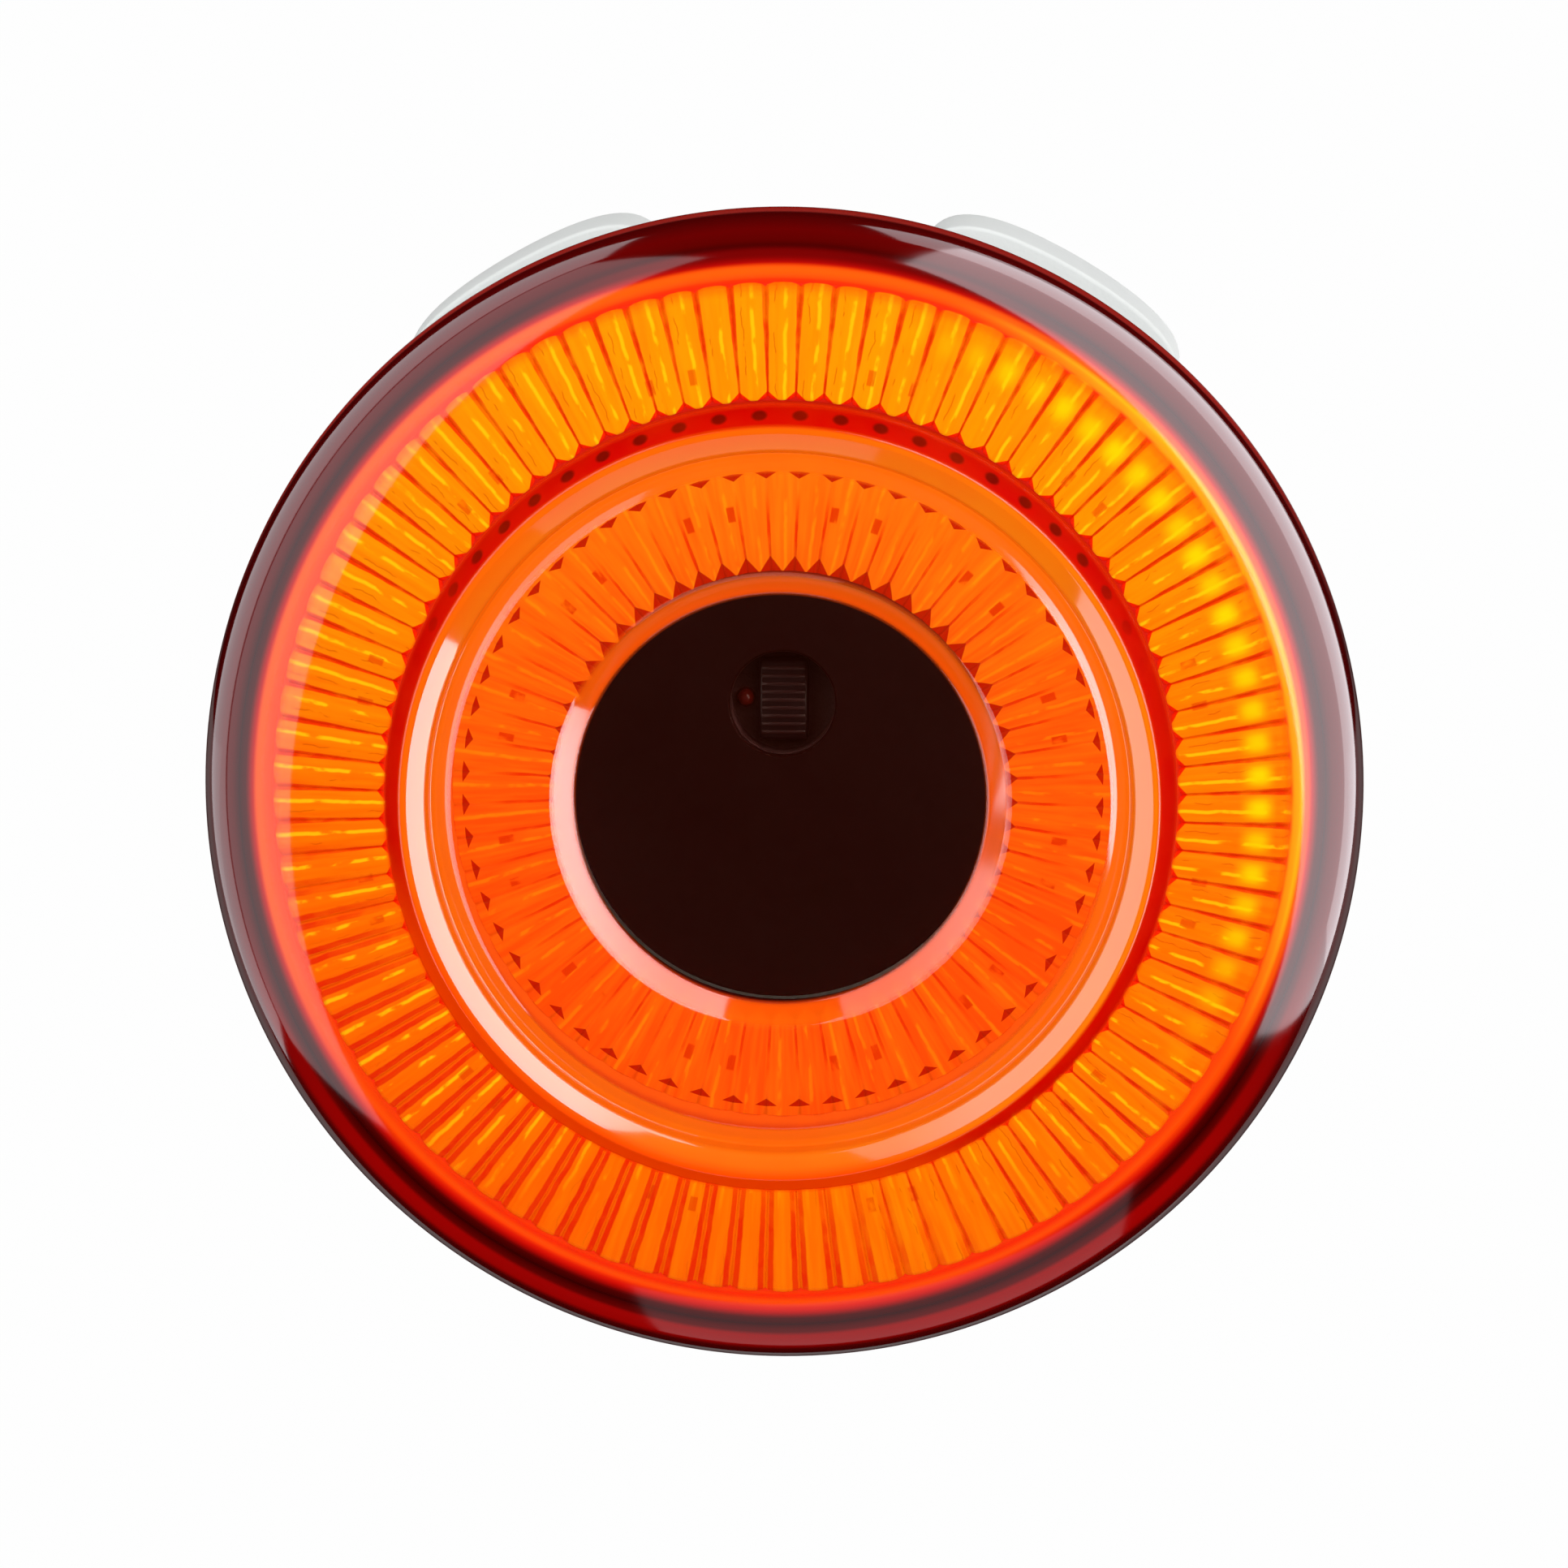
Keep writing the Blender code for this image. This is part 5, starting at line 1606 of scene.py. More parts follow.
@dataclass
class RearCase:
    """The black cup behind the lens, with its button hole, port hole, board posts and lock boss."""

    wall: float = 1.6
    floor: float = 1.3
    back_round: float = 2.0
    spigot_wall: float = 1.2
    spigot_height: float = 1.3
    boss_radius: float = 6.0
    lug_reach: float = 2.0
    lug_width: float = 5.0
    lug_height: float = 0.9
    button_size: Place = (7.4, 3.6, 1.6)
    port_size: Place = (8.7, 2.9, 1.3)
    button_level: float = 9.25
    port_level: float = 9.35
    post_radius: float = 1.75
    post_ring: float = 15.05
    post_angles: tuple[float, ...] = (60, 120, 240, 300)
    peg_angle: float = 157.835
    peg_radius: float = 0.9
    peg_depth: float = 1.2
    bracket_gap: float = 0.25
    seal_half: float = 0.4
    seal_depth: float = 0.62
    board_gap: float = 0.2
    screw_hole: Point = (0.9, 2.4)
    post_sink: float = 0.3
    lug_edge: float = 0.2
    lug_corner: float = 0.6
    hole_chamfer: float = 0.25
    hole_depth: float = 2.6
    hole_clear: float = 1.0

    def build(self) -> None:
        """Turn the cup, add its posts and lugs, and cut its holes."""
        radius = self.radius = span("rear_case", Axis.ACROSS)[1]
        boss_end, spigot_top = span("rear_case", Axis.OUT)
        back = span("strap_bracket", Axis.OUT)[1] + self.bracket_gap
        floor_top = back + self.floor
        inner = radius - self.wall
        ledge = spigot_top - self.spigot_height
        spigot = inner + self.spigot_wall
        seal = self.seal_half
        groove = spigot - self.seal_depth
        level = (ledge + spigot_top) / 2
        corners = [
            (0.0, boss_end, 0),
            (self.boss_radius, boss_end, 0.25),
            (self.boss_radius, back, 0.25),
            (radius, back, self.back_round),
            (radius, ledge, 0.2),
            (spigot, ledge, 0),
            (spigot, level - seal, 0),
            (groove, level - seal, 0),
            (groove, level + seal, 0),
            (spigot, level + seal, 0),
            (spigot, spigot_top, 0.15),
            (inner, spigot_top, 0.15),
            (inner, floor_top, 0.8),
            (0.0, floor_top, 0),
        ]
        shape = lathe(rounded(corners, 9))
        board_back = span("led_board", Axis.OUT)[0]
        for angle in self.post_angles:
            x, y = clock(self.post_ring, angle)
            post = lathe(self._post(floor_top, board_back - self.board_gap), SMALL_STEPS)
            shape = cut(shape, moved(post, x, y), join=True)
        shape = cut(shape, self._lugs(boss_end), join=True)
        shape = cut(shape, self._opening(self.button_size, self.button_level, 1.0))
        shape = cut(shape, self._opening(self.port_size, self.port_level, -1.0))
        shape = cut(shape, self._peg_hole())
        finish = Moulded("black_case", tone(31, 31, 33), 0.48, 7.0, 0.03, 0.2).make()
        piece("case_cup", shape, [finish], Body.LAMP, ["rear_case"])

    def _post(self, low: float, high: float) -> list[Point]:
        """Section of a board post.

        Args:
            low: height of the case's floor.
            high: height of the post's end.

        Returns:
            The section, from its top to its sunk foot.
        """
        bore, depth = self.screw_hole
        corners = [
            (0.0, high - depth, 0),
            (bore, high - depth, 0),
            (bore, high, 0.12),
            (self.post_radius, high, 0.15),
            (self.post_radius, low, 0.0),
            (self.post_radius, low - self.post_sink, 0.0),
            (0.0, low - self.post_sink, 0),
        ]
        return rounded(corners)

    def _lugs(self, end: float) -> Shape:
        """The two lock lugs on the boss.

        Args:
            end: height of the boss's end.

        Returns:
            A bar through the boss.
        """
        reach = 2 * (self.boss_radius + self.lug_reach)
        top = end + self.lug_height
        edge = self.lug_edge
        steps = ((edge, end), (0.0, end + edge), (0.0, top - edge), (edge, top))
        return stack(tiers((reach, self.lug_width), self.lug_corner, steps, 4))

    def _opening(self, size: Place, level: float, side: float) -> Shape:
        """A hole through the case's wall with a small chamfer outside.

        Args:
            size: width, height and corner radius.
            level: height of its middle.
            side: 1 at twelve o'clock, -1 at six.

        Returns:
            The cutter.
        """
        chamfer = self.hole_chamfer
        depths = (
            (0.0, self.hole_depth),
            (0.0, 3 * chamfer),
            (-chamfer, chamfer),
            (-chamfer, -self.hole_clear),
        )
        steps = [(inset, side * (self.radius - depth)) for inset, depth in depths]
        return stack(upright(tiers(size, size[2], steps, follow=1.0), level))

    def _peg_hole(self) -> Shape:
        """The blind hole that the cover's anchor is pegged into.

        Returns:
            The cutter.
        """
        depth = self.peg_depth
        profile = [(0.0, 1.0), (self.peg_radius, 1.0), (self.peg_radius, -depth), (0.0, -depth)]
        return on_wall(lathe(profile, SMALL_STEPS), self.radius, self.peg_angle, self.port_level)


@dataclass
class PowerButton:
    """The soft button at twelve o'clock."""

    size: Place = (7.0, 3.2, 1.4)
    level: float = RearCase.button_level
    wing_thickness: float = 0.8
    stem: Place = (2.6, 1.4, 0.4)
    dish: float = 0.12
    edge: float = 0.1
    case_wall: float = RearCase.wall
    fit_gap: float = 0.2
    crown: tuple[Point, ...] = ((0.0, 0.55), (0.04, 0.3), (0.14, 0.1), (0.3, 0.02), (0.5, 0.0))
    dish_steps: tuple[Point, ...] = ((0.75, 0.5), (1.0, 0.85), (1.3, 1.0))

    def build(self) -> None:
        """Stack the button's outlines from its stem to its dished face."""
        (_, half_wing), (stem_end, face), (low, high) = (span("power_button", axis) for axis in Axis)
        case = span("rear_case", Axis.ACROSS)[1]
        wing_outer = math.sqrt((case - self.case_wall) ** 2 - half_wing**2) - self.fit_gap
        wing_inner = wing_outer - self.wing_thickness
        wing_size = (2 * half_wing, high - low, 0.5)
        edge = self.edge
        steps = [
            (self.stem, edge, stem_end),
            (self.stem, 0.0, stem_end + edge),
            (self.stem, 0.0, wing_inner),
            (wing_size, edge, wing_inner),
            (wing_size, 0.0, wing_inner + edge),
            (wing_size, 0.0, wing_outer - edge),
            (wing_size, edge, wing_outer),
            (self.size, 0.0, wing_outer),
        ]
        steps += [(self.size, inset, face - drop) for inset, drop in self.crown]
        steps += [(self.size, inset, face - self.dish * share) for inset, share in self.dish_steps]
        loops = []
        for (width, height, corner), inset, reach in steps:
            outline = round_rectangle(width - 2 * inset, height - 2 * inset, max(corner - inset, edge), 6)
            curved = reach > wing_outer + edge
            loop = []
            for x, z in outline:
                sink = case - math.sqrt(case**2 - x * x) if curved else 0.0
                loop.append((x, reach - sink, self.level + z))
            loops.append(loop)
        finish = Moulded("button_silicone", tone(44, 45, 48), 0.55, 10.0, 0.012, 0.2).make()
        piece("button_cap", stack(loops), [finish], Body.BUTTON, ["power_button"])


@dataclass
class PortCover:
    """The soft cover over the charging socket, its pegged anchor and the thin tab between them."""

    half_angle: float = 16.0
    level: float = RearCase.port_level
    corner: float = 1.0
    plug: Place = (8.0, 2.2, 1.05)
    anchor_angles: Point = (19.63, 24.70)
    tab_width: float = 2.2
    tab_thickness: float = 0.34
    tab_overlap: float = 0.35
    tab_loops: int = 14
    case_gap: float = 0.2
    peg_radius: float = 0.7
    peg_length: float = 1.0
    peg_sink: float = 0.35
    anchor_corner: float = 0.6

    def _bent(self, along: float, out: float, radius: float, middle: float = 0.0) -> Place:
        """A flat place, along the case and out of the lens, bent round it about a middle in degrees."""
        x, y = clock(radius, 180 - middle - math.degrees(along / self.radius))
        return x, y, self.level + out

    def _plate(self, width: float, height: float, corner: float, middle: float) -> Shape:
        """A bent plate with rounded edges.

        Args:
            width: length round the case.
            height: height along the lamp's axis.
            corner: radius of its corners.
            middle: degrees from six o'clock.

        Returns:
            The shape.
        """
        steps = (
            (0.12, self.inner),
            (0.0, self.inner + 0.12),
            (0.0, self.outer - 0.3),
            (0.06, self.outer - 0.14),
            (0.18, self.outer - 0.03),
            (0.35, self.outer),
        )
        loops = tiers((width, height), corner, steps, 8, follow=0.5)
        return stack([[self._bent(*place, middle) for place in self._divided(loop)] for loop in loops])

    @staticmethod
    def _divided(outline: Sequence[Place], parts: int = 8) -> list[Place]:
        """An outline with points along its long sides, so that it bends smoothly.

        Args:
            outline: the outline.
            parts: parts of a long side.

        Returns:
            The denser outline.
        """
        dense = []
        for here, after in zip(outline, list(outline[1:]) + [outline[0]]):
            count = parts if math.dist(here, after) > 1.0 else 1
            for i in range(count):
                share = i / count
                dense.append(tuple(a + (b - a) * share for a, b in zip(here, after)))
        return dense

    def build(self) -> None:
        """Build the cover with its plug, the anchor with its peg, and the tab."""
        low, high = span("port_cover", Axis.OUT)
        case = span("rear_case", Axis.ACROSS)[1]
        self.inner = case + self.case_gap
        self.outer = -span("port_cover", Axis.UP)[0]
        self.radius = (self.inner + self.outer) / 2
        width = 2 * math.radians(self.half_angle) * self.radius
        finish = Moulded("cover_silicone", tone(38, 38, 41), 0.6, 10.0, 0.012, 0.2).make()
        cover = cut(self._plate(width, high - low, self.corner, 0.0), self._plug(), join=True)
        piece("cover_flap", cover, [finish], Body.COVER, ["port_cover"])
        start, end = self.anchor_angles
        middle = (start + end) / 2
        anchor_width = math.radians(end - start) * self.radius
        anchor = self._plate(anchor_width, high - low, self.anchor_corner, middle)
        anchor = cut(anchor, self._peg(middle), join=True)
        piece("cover_end", anchor, [finish], Body.LAMP, ["cover_anchor"])
        self._tab(finish, start)

    def _plug(self) -> Shape:
        """The plug behind the cover.

        Returns:
            The plug, from its rounded end to inside the plate.
        """
        end = span("port_cover", Axis.UP)[1]
        steps = ((0.35, end), (0.1, end - 0.12), (0.0, end - 0.4), (0.0, -self.inner - 0.3))
        return stack(upright(tiers(self.plug, self.plug[2], steps), self.level))

    def _peg(self, middle: float) -> Shape:
        """The peg behind the anchor.

        Args:
            middle: degrees from six o'clock of the anchor's middle.

        Returns:
            The peg, from inside the plate inwards.
        """
        radius = self.peg_radius
        sink = self.peg_sink
        end = -self.peg_length
        profile = rounded([(0.0, sink, 0), (radius, sink, 0), (radius, end, 0.2), (0.0, end, 0)])
        return on_wall(lathe(profile, SMALL_STEPS), self.inner, 180 - middle, self.level)

    def _tab(self, finish: Material, anchor_start: float) -> None:
        """The thin strip that bends as the cover swings.

        Args:
            finish: the cover's material.
            anchor_start: degrees from six o'clock where the anchor begins.
        """
        overlap = self.tab_overlap
        first = math.radians(self.half_angle) * self.radius - overlap
        last = math.radians(anchor_start) * self.radius + overlap
        half = self.tab_thickness / 2
        section = round_rectangle(self.tab_thickness, self.tab_width, half * 0.9, 4)
        loops = []
        for i in range(self.tab_loops):
            along = first + (last - first) * i / (self.tab_loops - 1)
            loops.append([self._bent(along, out, self.radius + thick) for thick, out in section])
        tab = piece("cover_tab", stack(loops), [finish], None)
        places = (last - overlap, first + overlap)
        ends = [LAMP_TO_WORLD @ Vector(self._bent(along, 0.0, self.radius)) for along in places]
        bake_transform(tab)


@dataclass
class ChargeSocket:
    """The charging socket behind the cover: drawn shell, tongue and contacts."""

    row: CopyTree
    wall: float = 0.3
    corner: float = 1.45
    back_depth: float = 1.0
    tongue: Place = (6.6, 4.6, 0.7)
    contacts: int = 12
    contact_pitch: float = 0.5
    contact_size: Place = (0.26, 3.4, 0.06)
    contact_edge: float = 0.02
    contact_set_off: float = 0.4

    def build(self) -> None:
        """Build the shell, the tongue and its contacts."""
        (left, right), (low, high), (back, top) = (span("usb_socket", axis) for axis in Axis)
        width = right - left
        height = top - back
        level = (back + top) / 2
        bed = high - self.back_depth
        steel = Metal("socket_steel", (0.62, 0.62, 0.63), 0.25, (14.0, 0.3, 14.0)).make()
        steps = (
            (0.2, high),
            (0.0, high - 0.2),
            (0.0, low + 0.08),
            (0.08, low),
            (self.wall - 0.06, low),
            (self.wall, low + 0.1),
            (self.wall, bed),
        )
        shell = stack(upright(tiers((width, height), self.corner, steps, follow=1.0), level))
        piece("socket_shell", shell, [steel], Body.LAMP, ["usb_socket"])
        nylon = Moulded("tongue_nylon", tone(24, 24, 25), 0.5, 8.0, 0.01).make()
        tongue_width, tongue_length, thickness = self.tongue
        tip = bed - tongue_length
        steps = ((0.0, bed + 0.2), (0.0, tip + 0.25), (0.06, tip + 0.08), (0.18, tip))
        tongue = stack(upright(tiers((tongue_width, thickness), 0.25, steps, 4), level))
        piece("socket_tongue", tongue, [nylon], Body.LAMP)
        gold = Metal("contact_gold", (0.83, 0.6, 0.25), 0.22, (14.0, 0.3, 14.0)).make()
        contact = bar(self.contact_size, self.contact_edge)
        reach = self.contact_pitch * (self.contacts - 1) / 2
        start = (-reach, bed - self.contact_size[1] / 2 - self.contact_set_off, level + thickness / 2)
        shape = self.row.repeat(contact, self.contacts, (self.contact_pitch, 0.0, 0.0), start, gold)
        piece("socket_contacts", shape, [gold], Body.LAMP)


@dataclass
class StrapBracket:
    """The pale plate with four ears and a lock socket."""

    radius: float = 15.4
    ear_tip: float = 19.72
    ear_angle: float = 30.3
    ear_half_angle: float = 16.3
    squareness: float = 5.0
    ear_points: int = 48
    disc_points: int = 24
    edge: float = 0.16
    socket_radius: float = 8.63
    bore_radius: float = 6.25
    entry_width: float = 5.5
    floor: float = 1.0
    lip: float = 1.2
    groove_inset: float = 1.4
    groove_width: float = 2.3
    groove_depth: float = 1.3
    chamfer: float = 0.25
    clear: float = 0.5
    entry_sink: float = 0.2
    entry_corner: float = 0.4

    def outline(self) -> list[Point]:
        """The plate's outline, with four ears on a disc.

        Returns:
            The points, clockwise.
        """
        middles = (self.ear_angle, 180 - self.ear_angle, 180 + self.ear_angle, 360 - self.ear_angle)
        points = []
        for middle, following in zip(middles, middles[1:] + (middles[0] + 360,)):
            for i in range(self.ear_points):
                share = -math.cos(math.pi * i / (self.ear_points - 1))
                power = self.squareness
                rise = (1 - abs(share) ** power) ** (1 / power)
                reach = self.radius + (self.ear_tip - self.radius) * rise
                points.append(clock(reach, middle + self.ear_half_angle * share))
            first = middle + self.ear_half_angle
            gap = following - self.ear_half_angle - first
            for i in range(1, self.disc_points):
                points.append(clock(self.radius, first + gap * i / self.disc_points))
        return points

    def build(self) -> None:
        """Raise the outline into a plate with soft edges, then cut the strap groove and the lock socket."""
        back, front = span("strap_bracket", Axis.OUT)
        curve = bpy.data.curves.new("bracket_outline", "CURVE")
        curve.dimensions = "2D"
        curve.fill_mode = "BOTH"
        curve.extrude = (front - back) / 2 - self.edge
        curve.bevel_depth = self.edge
        curve.bevel_resolution = 4
        curve.offset = -self.edge
        points = self.outline()
        spline = curve.splines.new("POLY")
        spline.points.add(len(points) - 1)
        for point, (x, y) in zip(spline.points, points):
            point.co = (x, y, 0.0, 1.0)
        spline.use_cyclic_u = True
        shape = settled(in_scene("bracket_outline", curve))
        bpy.data.curves.remove(curve)
        bmesh.ops.remove_doubles(shape, verts=shape.verts, dist=SAME_PLACE)
        bmesh.ops.recalc_face_normals(shape, faces=shape.faces)
        shape = cut(moved(shape, out=(front + back) / 2), self._strap_groove(back))
        shape = cut(shape, self._socket(back, front))
        shape = cut(shape, self._entry(front))
        finish = Moulded("pale_bracket", tone(232, 235, 233), 0.72, 5.0, 0.012, 0.05, 0.1).make()
        piece("bracket_plate", shape, [finish], Body.BRACKET, ["strap_bracket"])

    def _strap_groove(self, back: float) -> Shape:
        """The ring-shaped groove behind the ears that holds a strap.

        Args:
            back: height of the plate's back.

        Returns:
            The cutter.
        """
        outer = self.ear_tip - self.groove_inset
        inner = outer - self.groove_width
        top = back + self.groove_depth
        below = back - self.clear
        corners = [
            (inner, below, 0),
            (inner, top, 0.5),
            (outer, top, 0.5),
            (outer, below, 0),
            ((inner + outer) / 2, below, 0),
        ]
        return lathe(rounded(corners), closed=True)

    def _socket(self, back: float, front: float) -> Shape:
        """The round lock socket and its bore.

        Args:
            back: height of the plate's back.
            front: height of its front.

        Returns:
            The cutter.
        """
        bed = back + self.floor
        roof = front - self.lip
        profile = [
            (0.0, bed),
            (self.socket_radius, bed),
            (self.socket_radius, roof),
            (self.bore_radius, roof),
            (self.bore_radius, front - self.chamfer),
            (self.bore_radius + self.chamfer, front),
            (self.bore_radius + self.chamfer, front + self.clear),
            (0.0, front + self.clear),
        ]
        return lathe(profile, SMALL_STEPS * 2)

    def _entry(self, front: float) -> Shape:
        """The slot that lets the lock lugs into the socket.

        Args:
            front: height of the plate's front.

        Returns:
            The cutter.
        """
        reach = 2 * math.sqrt(self.socket_radius**2 - (self.entry_width / 2) ** 2)
        steps = ((0.0, front - self.lip - self.entry_sink), (0.0, front + self.clear))
        return stack(tiers((self.entry_width, reach), self.entry_corner, steps, 4))


@dataclass
class GripPad:
    """The ribbed rubber pad on the bracket's back."""

    row: CopyTree
    edge: float = 0.4
    grooves: int = 8
    pitch: float = 3.0
    width: float = 0.9
    depth: float = 0.5
    bed_round: float = 0.25
    flare: float = 0.12
    flare_turns: tuple[float, ...] = (0.3, 0.8, 1.2, math.pi / 2)
    clear: float = 0.3

    def build(self) -> None:
        """Turn the pad and cut its level grooves."""
        back, front = span("grip_pad", Axis.OUT)
        radius = span("grip_pad", Axis.ACROSS)[1]
        finish = Moulded("pad_rubber", tone(36, 36, 38), 0.75, 8.0, 0.03, 0.25).make()
        half = self.width / 2
        flare = self.flare
        bed = self.bed_round
        section = arc((half - bed, self.depth - bed), bed, bed, 0, 90, 5)
        for turn in self.flare_turns:
            section.append((half + flare * (1 - math.cos(turn)), flare * (1 - math.sin(turn))))
        section.append((half + flare, -self.clear))
        section += [(-x, z) for x, z in reversed(section)]
        groove = stack([[(x, y, z) for y, z in section] for x in (-radius - 1, radius + 1)])
        first = -self.pitch * (self.grooves - 1) / 2
        cutter = self.row.repeat(groove, self.grooves, (0.0, self.pitch, 0.0), (0.0, first, back), finish)
        shape = cut(disc(radius, back, front, self.edge), cutter)
        piece("pad_disc", shape, [finish], Body.BRACKET, ["grip_pad"], sharp=30)


@dataclass
class Innards:
    """Finishes of the CAD nodes that stay as they are, inside the case."""

    led_count: int = FluteGlow.led_count
    screw_count: int = len(RearCase.post_angles)

    def dress(self) -> None:
        """Give every carried-over node its own material."""
        numbers = range(1, self.led_count + 1)
        leds = [f"led_{ring}_{number:02d}" for ring in ("inner", "outer") for number in numbers]
        screws = [f"board_screw_{number}" for number in range(1, self.screw_count + 1)]
        finishes = (
            (leds, Moulded("led_resin", tone(250, 214, 96), 0.25, 6.0, 0.005, 0.1)),
            (screws, Metal("screw_steel", (0.55, 0.55, 0.57))),
            (["led_board"], Board()),
            (["switch_body"], Moulded("switch_nylon", tone(36, 36, 38), 0.5)),
            (["switch_plunger"], Moulded("plunger_nylon", tone(208, 206, 198), 0.4)),
            (["control_chip"], Moulded("chip_epoxy", tone(28, 28, 29), 0.55, 12.0, 0.01)),
            (["battery_cell"], Metal("cell_foil", (0.72, 0.73, 0.75), 0.34)),
            (["battery_tape"], Moulded("tape_foam", tone(60, 62, 64), 0.9, 12.0, 0.04)),
            (["battery_lead_red"], Moulded("lead_red", tone(176, 22, 20), 0.4)),
            (["battery_lead_black"], Moulded("lead_black", tone(26, 26, 27), 0.4)),
            (["seal_ring"], Moulded("seal_rubber", tone(30, 30, 30), 0.6)),
        )
        for names, finish in finishes:
            material = finish.make()
            for name in names:
                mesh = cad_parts[name].data
                mesh.materials.clear()
                mesh.materials.append(material)
                log.info("%s dressed in %s", name, material.name)


@dataclass(frozen=True)
class Softbox:
    """A soft lamp, placed by the clock round the lamp's axis and by its tilt from straight in front."""

    name: str
    clock_angle: float
    tilt: float
    distance: float
    width: float
    height: float
    radiance: float
    lighting: Lighting
    colour: Colour = (1.0, 1.0, 1.0)

    def build(self, target: Vector) -> None:
        """Hang the lamp.

        Args:
            target: the place that it faces, in metres.
        """
        data = bpy.data.lights.new(self.name, "AREA")
        data.shape = "RECTANGLE"
        data.size = self.width
        data.size_y = self.height
        data.color = self.colour
        data.energy = self.radiance * math.pi * self.width * self.height
        lamp = in_scene(self.name, data)
        tilt = math.radians(self.tilt)
        x, z = clock(math.sin(tilt), self.clock_angle)
        away = Vector((x, -math.cos(tilt), z))
        turn = math.radians(self.clock_angle)
        around = Vector((math.cos(turn), 0.0, -math.sin(turn)))
        lamp.location = target + away * self.distance
        lamp.rotation_euler = Matrix((around, away.cross(around), away)).transposed().to_euler()
        shines = self.lighting is Lighting.SHINES
        lamp.visible_camera = False
        lamp.visible_diffuse = not shines
        lamp.visible_glossy = shines
        lamp.visible_transmission = shines
        log.info("lamp %s", self.name)


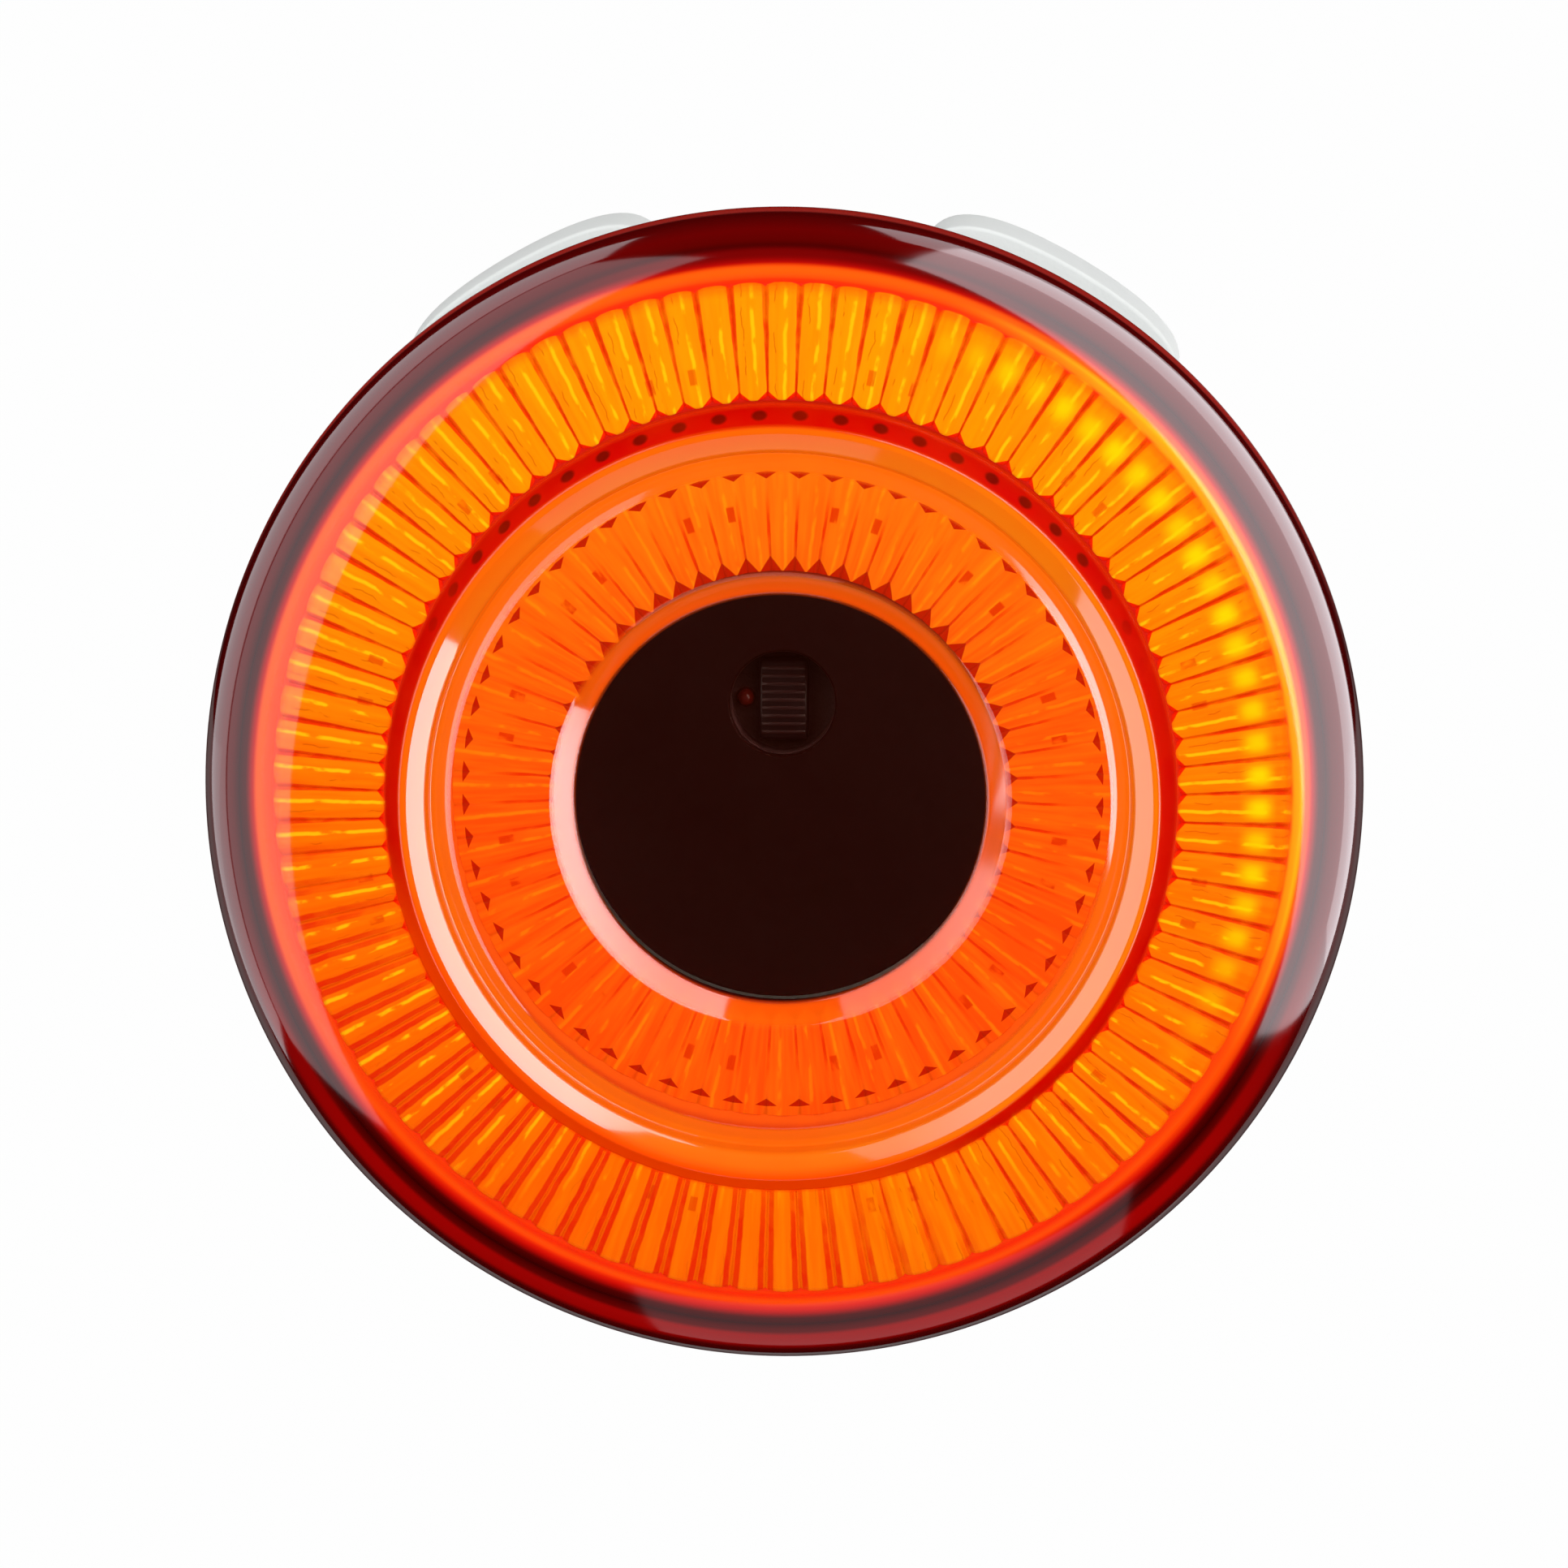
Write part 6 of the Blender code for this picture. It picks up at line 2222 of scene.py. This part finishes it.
@dataclass
class Studio:
    """The floor, room, soft lamps and camera. The light hangs in the air, as its mount would hold it."""

    distance: float = 0.8
    elevation: float = 8.2
    azimuth: float = 2.0
    frame_width: float = 0.05413
    sensor: float = 36.0
    floor_level: float = -0.6
    floor_front: float = 0.5
    floor_reach: float = 8.0
    floor_grey: float = 0.82
    floor_white: float = 0.985
    floor_gloss: float = 0.08
    ambient: float = 0.42
    behind: float = 0.06
    behind_start: Point = (0.75, 0.95)
    gloss_tint: Colour = (0.98, 0.93, 0.97)
    look_at: Place = (0.0, 0.0, 12.65)

    def build(self) -> None:
        """Set up the camera, the floor, the room and the lamps."""
        self.target = LAMP_TO_WORLD @ Vector(self.look_at)
        self._camera()
        self._floor()
        self._room()
        # Name, clock angle, tilt, distance, width, height, radiance, and which rays see it
        for lamp in (
            Softbox("right_gloss", 69.5, 82, 0.32, 0.86, 0.5, 5.2, Lighting.SHINES, self.gloss_tint),
            Softbox("right_edge", 62, 106, 0.32, 0.8, 0.2, 3.5, Lighting.SHINES, self.gloss_tint),
            Softbox("left_gloss", 286, 60, 0.32, 0.8, 0.27, 2.0, Lighting.SHINES, self.gloss_tint),
            Softbox("left_edge", 288, 103, 0.32, 0.78, 0.21, 3.0, Lighting.SHINES, self.gloss_tint),
            Softbox("low_gloss", 171, 79, 0.32, 0.27, 0.27, 0.65, Lighting.SHINES, self.gloss_tint),
            Softbox("right_fill", 65, 46, 0.6, 0.7, 0.6, 1.45, Lighting.SHADES),
            Softbox("left_fill", 290, 50, 0.6, 0.7, 0.6, 1.0, Lighting.SHADES),
            Softbox("top_fill", 0, 36, 0.6, 0.7, 0.6, 0.95, Lighting.SHADES),
            Softbox("low_fill", 180, 68, 0.6, 0.7, 0.6, 0.9, Lighting.SHADES),
            Softbox("back_fill", 120, 140, 0.9, 0.9, 0.9, 1.2, Lighting.SHADES),
        ):
            lamp.build(self.target)

    def _camera(self) -> None:
        """A long lens a little above the lamp's axis."""
        data = bpy.data.cameras.new("camera")
        data.sensor_width = self.sensor
        data.lens = self.sensor * self.distance / self.frame_width
        camera = in_scene("camera", data)
        side = math.radians(self.azimuth)
        rise = math.radians(self.elevation)
        away = Vector((math.cos(rise) * math.sin(side), -math.cos(rise) * math.cos(side), math.sin(rise)))
        camera.location = self.target + away * self.distance
        camera.rotation_euler = away.to_track_quat("Z", "Y").to_euler()
        bpy.context.scene.camera = camera

    def _floor(self) -> None:
        """A plain white floor, from behind the lamp to far off, that keeps a soft shadow."""
        reach = self.floor_reach
        front = self.floor_front
        mesh = bpy.data.meshes.new("floor")
        outline = ((-reach, front), (reach, front), (reach, 2 * reach), (-reach, 2 * reach))
        corners = [(x, y, self.floor_level) for x, y in outline]
        mesh.from_pydata(corners, [], [(0, 1, 2, 3)])
        in_scene("floor", mesh)
        paint = Paint("white_floor")
        camera, mirrored = paint.rays()
        shown = (camera + mirrored * self.floor_gloss).math("MINIMUM", 1.0) * self.floor_white
        matt = paint.body(Base_Color=(self.floor_grey,) * 3, Roughness=0.9, Specular_IOR_Level=0.0)
        white = paint.node("ShaderNodeEmission", inputs={"Color": (1.0, 1.0, 1.0)}).outputs[0]
        mesh.materials.append(paint.done(paint.blended(shown, matt, white)))

    def _room(self) -> None:
        """A room that is white to the camera, pale behind and dark in front to gloss, and dim to surfaces."""
        world = bpy.data.worlds.new("room")
        world.use_nodes = True
        bpy.context.scene.world = world
        graph = Graph(world.node_tree)
        way = graph.node("ShaderNodeTexCoord").outputs["Generated"]
        depth = graph.value(graph.node("ShaderNodeSeparateXYZ", inputs={0: way}).outputs[1])
        back = depth.rise(*self.behind_start) * self.behind
        camera, mirrored = graph.rays()
        other = mirrored * (back - self.ambient) + self.ambient
        strength = camera * (1.0 - other) + other
        inputs = {"Color": (1.0, 1.0, 1.0), "Strength": strength}
        light = graph.node("ShaderNodeBackground", inputs=inputs).outputs[0]
        output = graph.node("ShaderNodeOutputWorld")
        graph.tree.links.new(light, output.inputs["Surface"])


def main() -> None:
    """Build the pieces in order, from the lens to the bracket, then the studio."""
    logging.basicConfig(level=logging.INFO, format="%(name)s %(message)s")
    ring = CopyTree(Layout.RING)
    row = CopyTree(Layout.ROW)
    lens = Lens()
    lens.build()
    Diffuser(lens, ring).build()
    SensorWindow(row).build()
    RearCase().build()
    PowerButton().build()
    PortCover().build()
    ChargeSocket(row).build()
    StrapBracket().build()
    GripPad(row).build()
    Innards().dress()
    Studio().build()
    bpy.context.scene.view_settings.view_transform = "Standard"


if __name__ == "__main__":
    main()
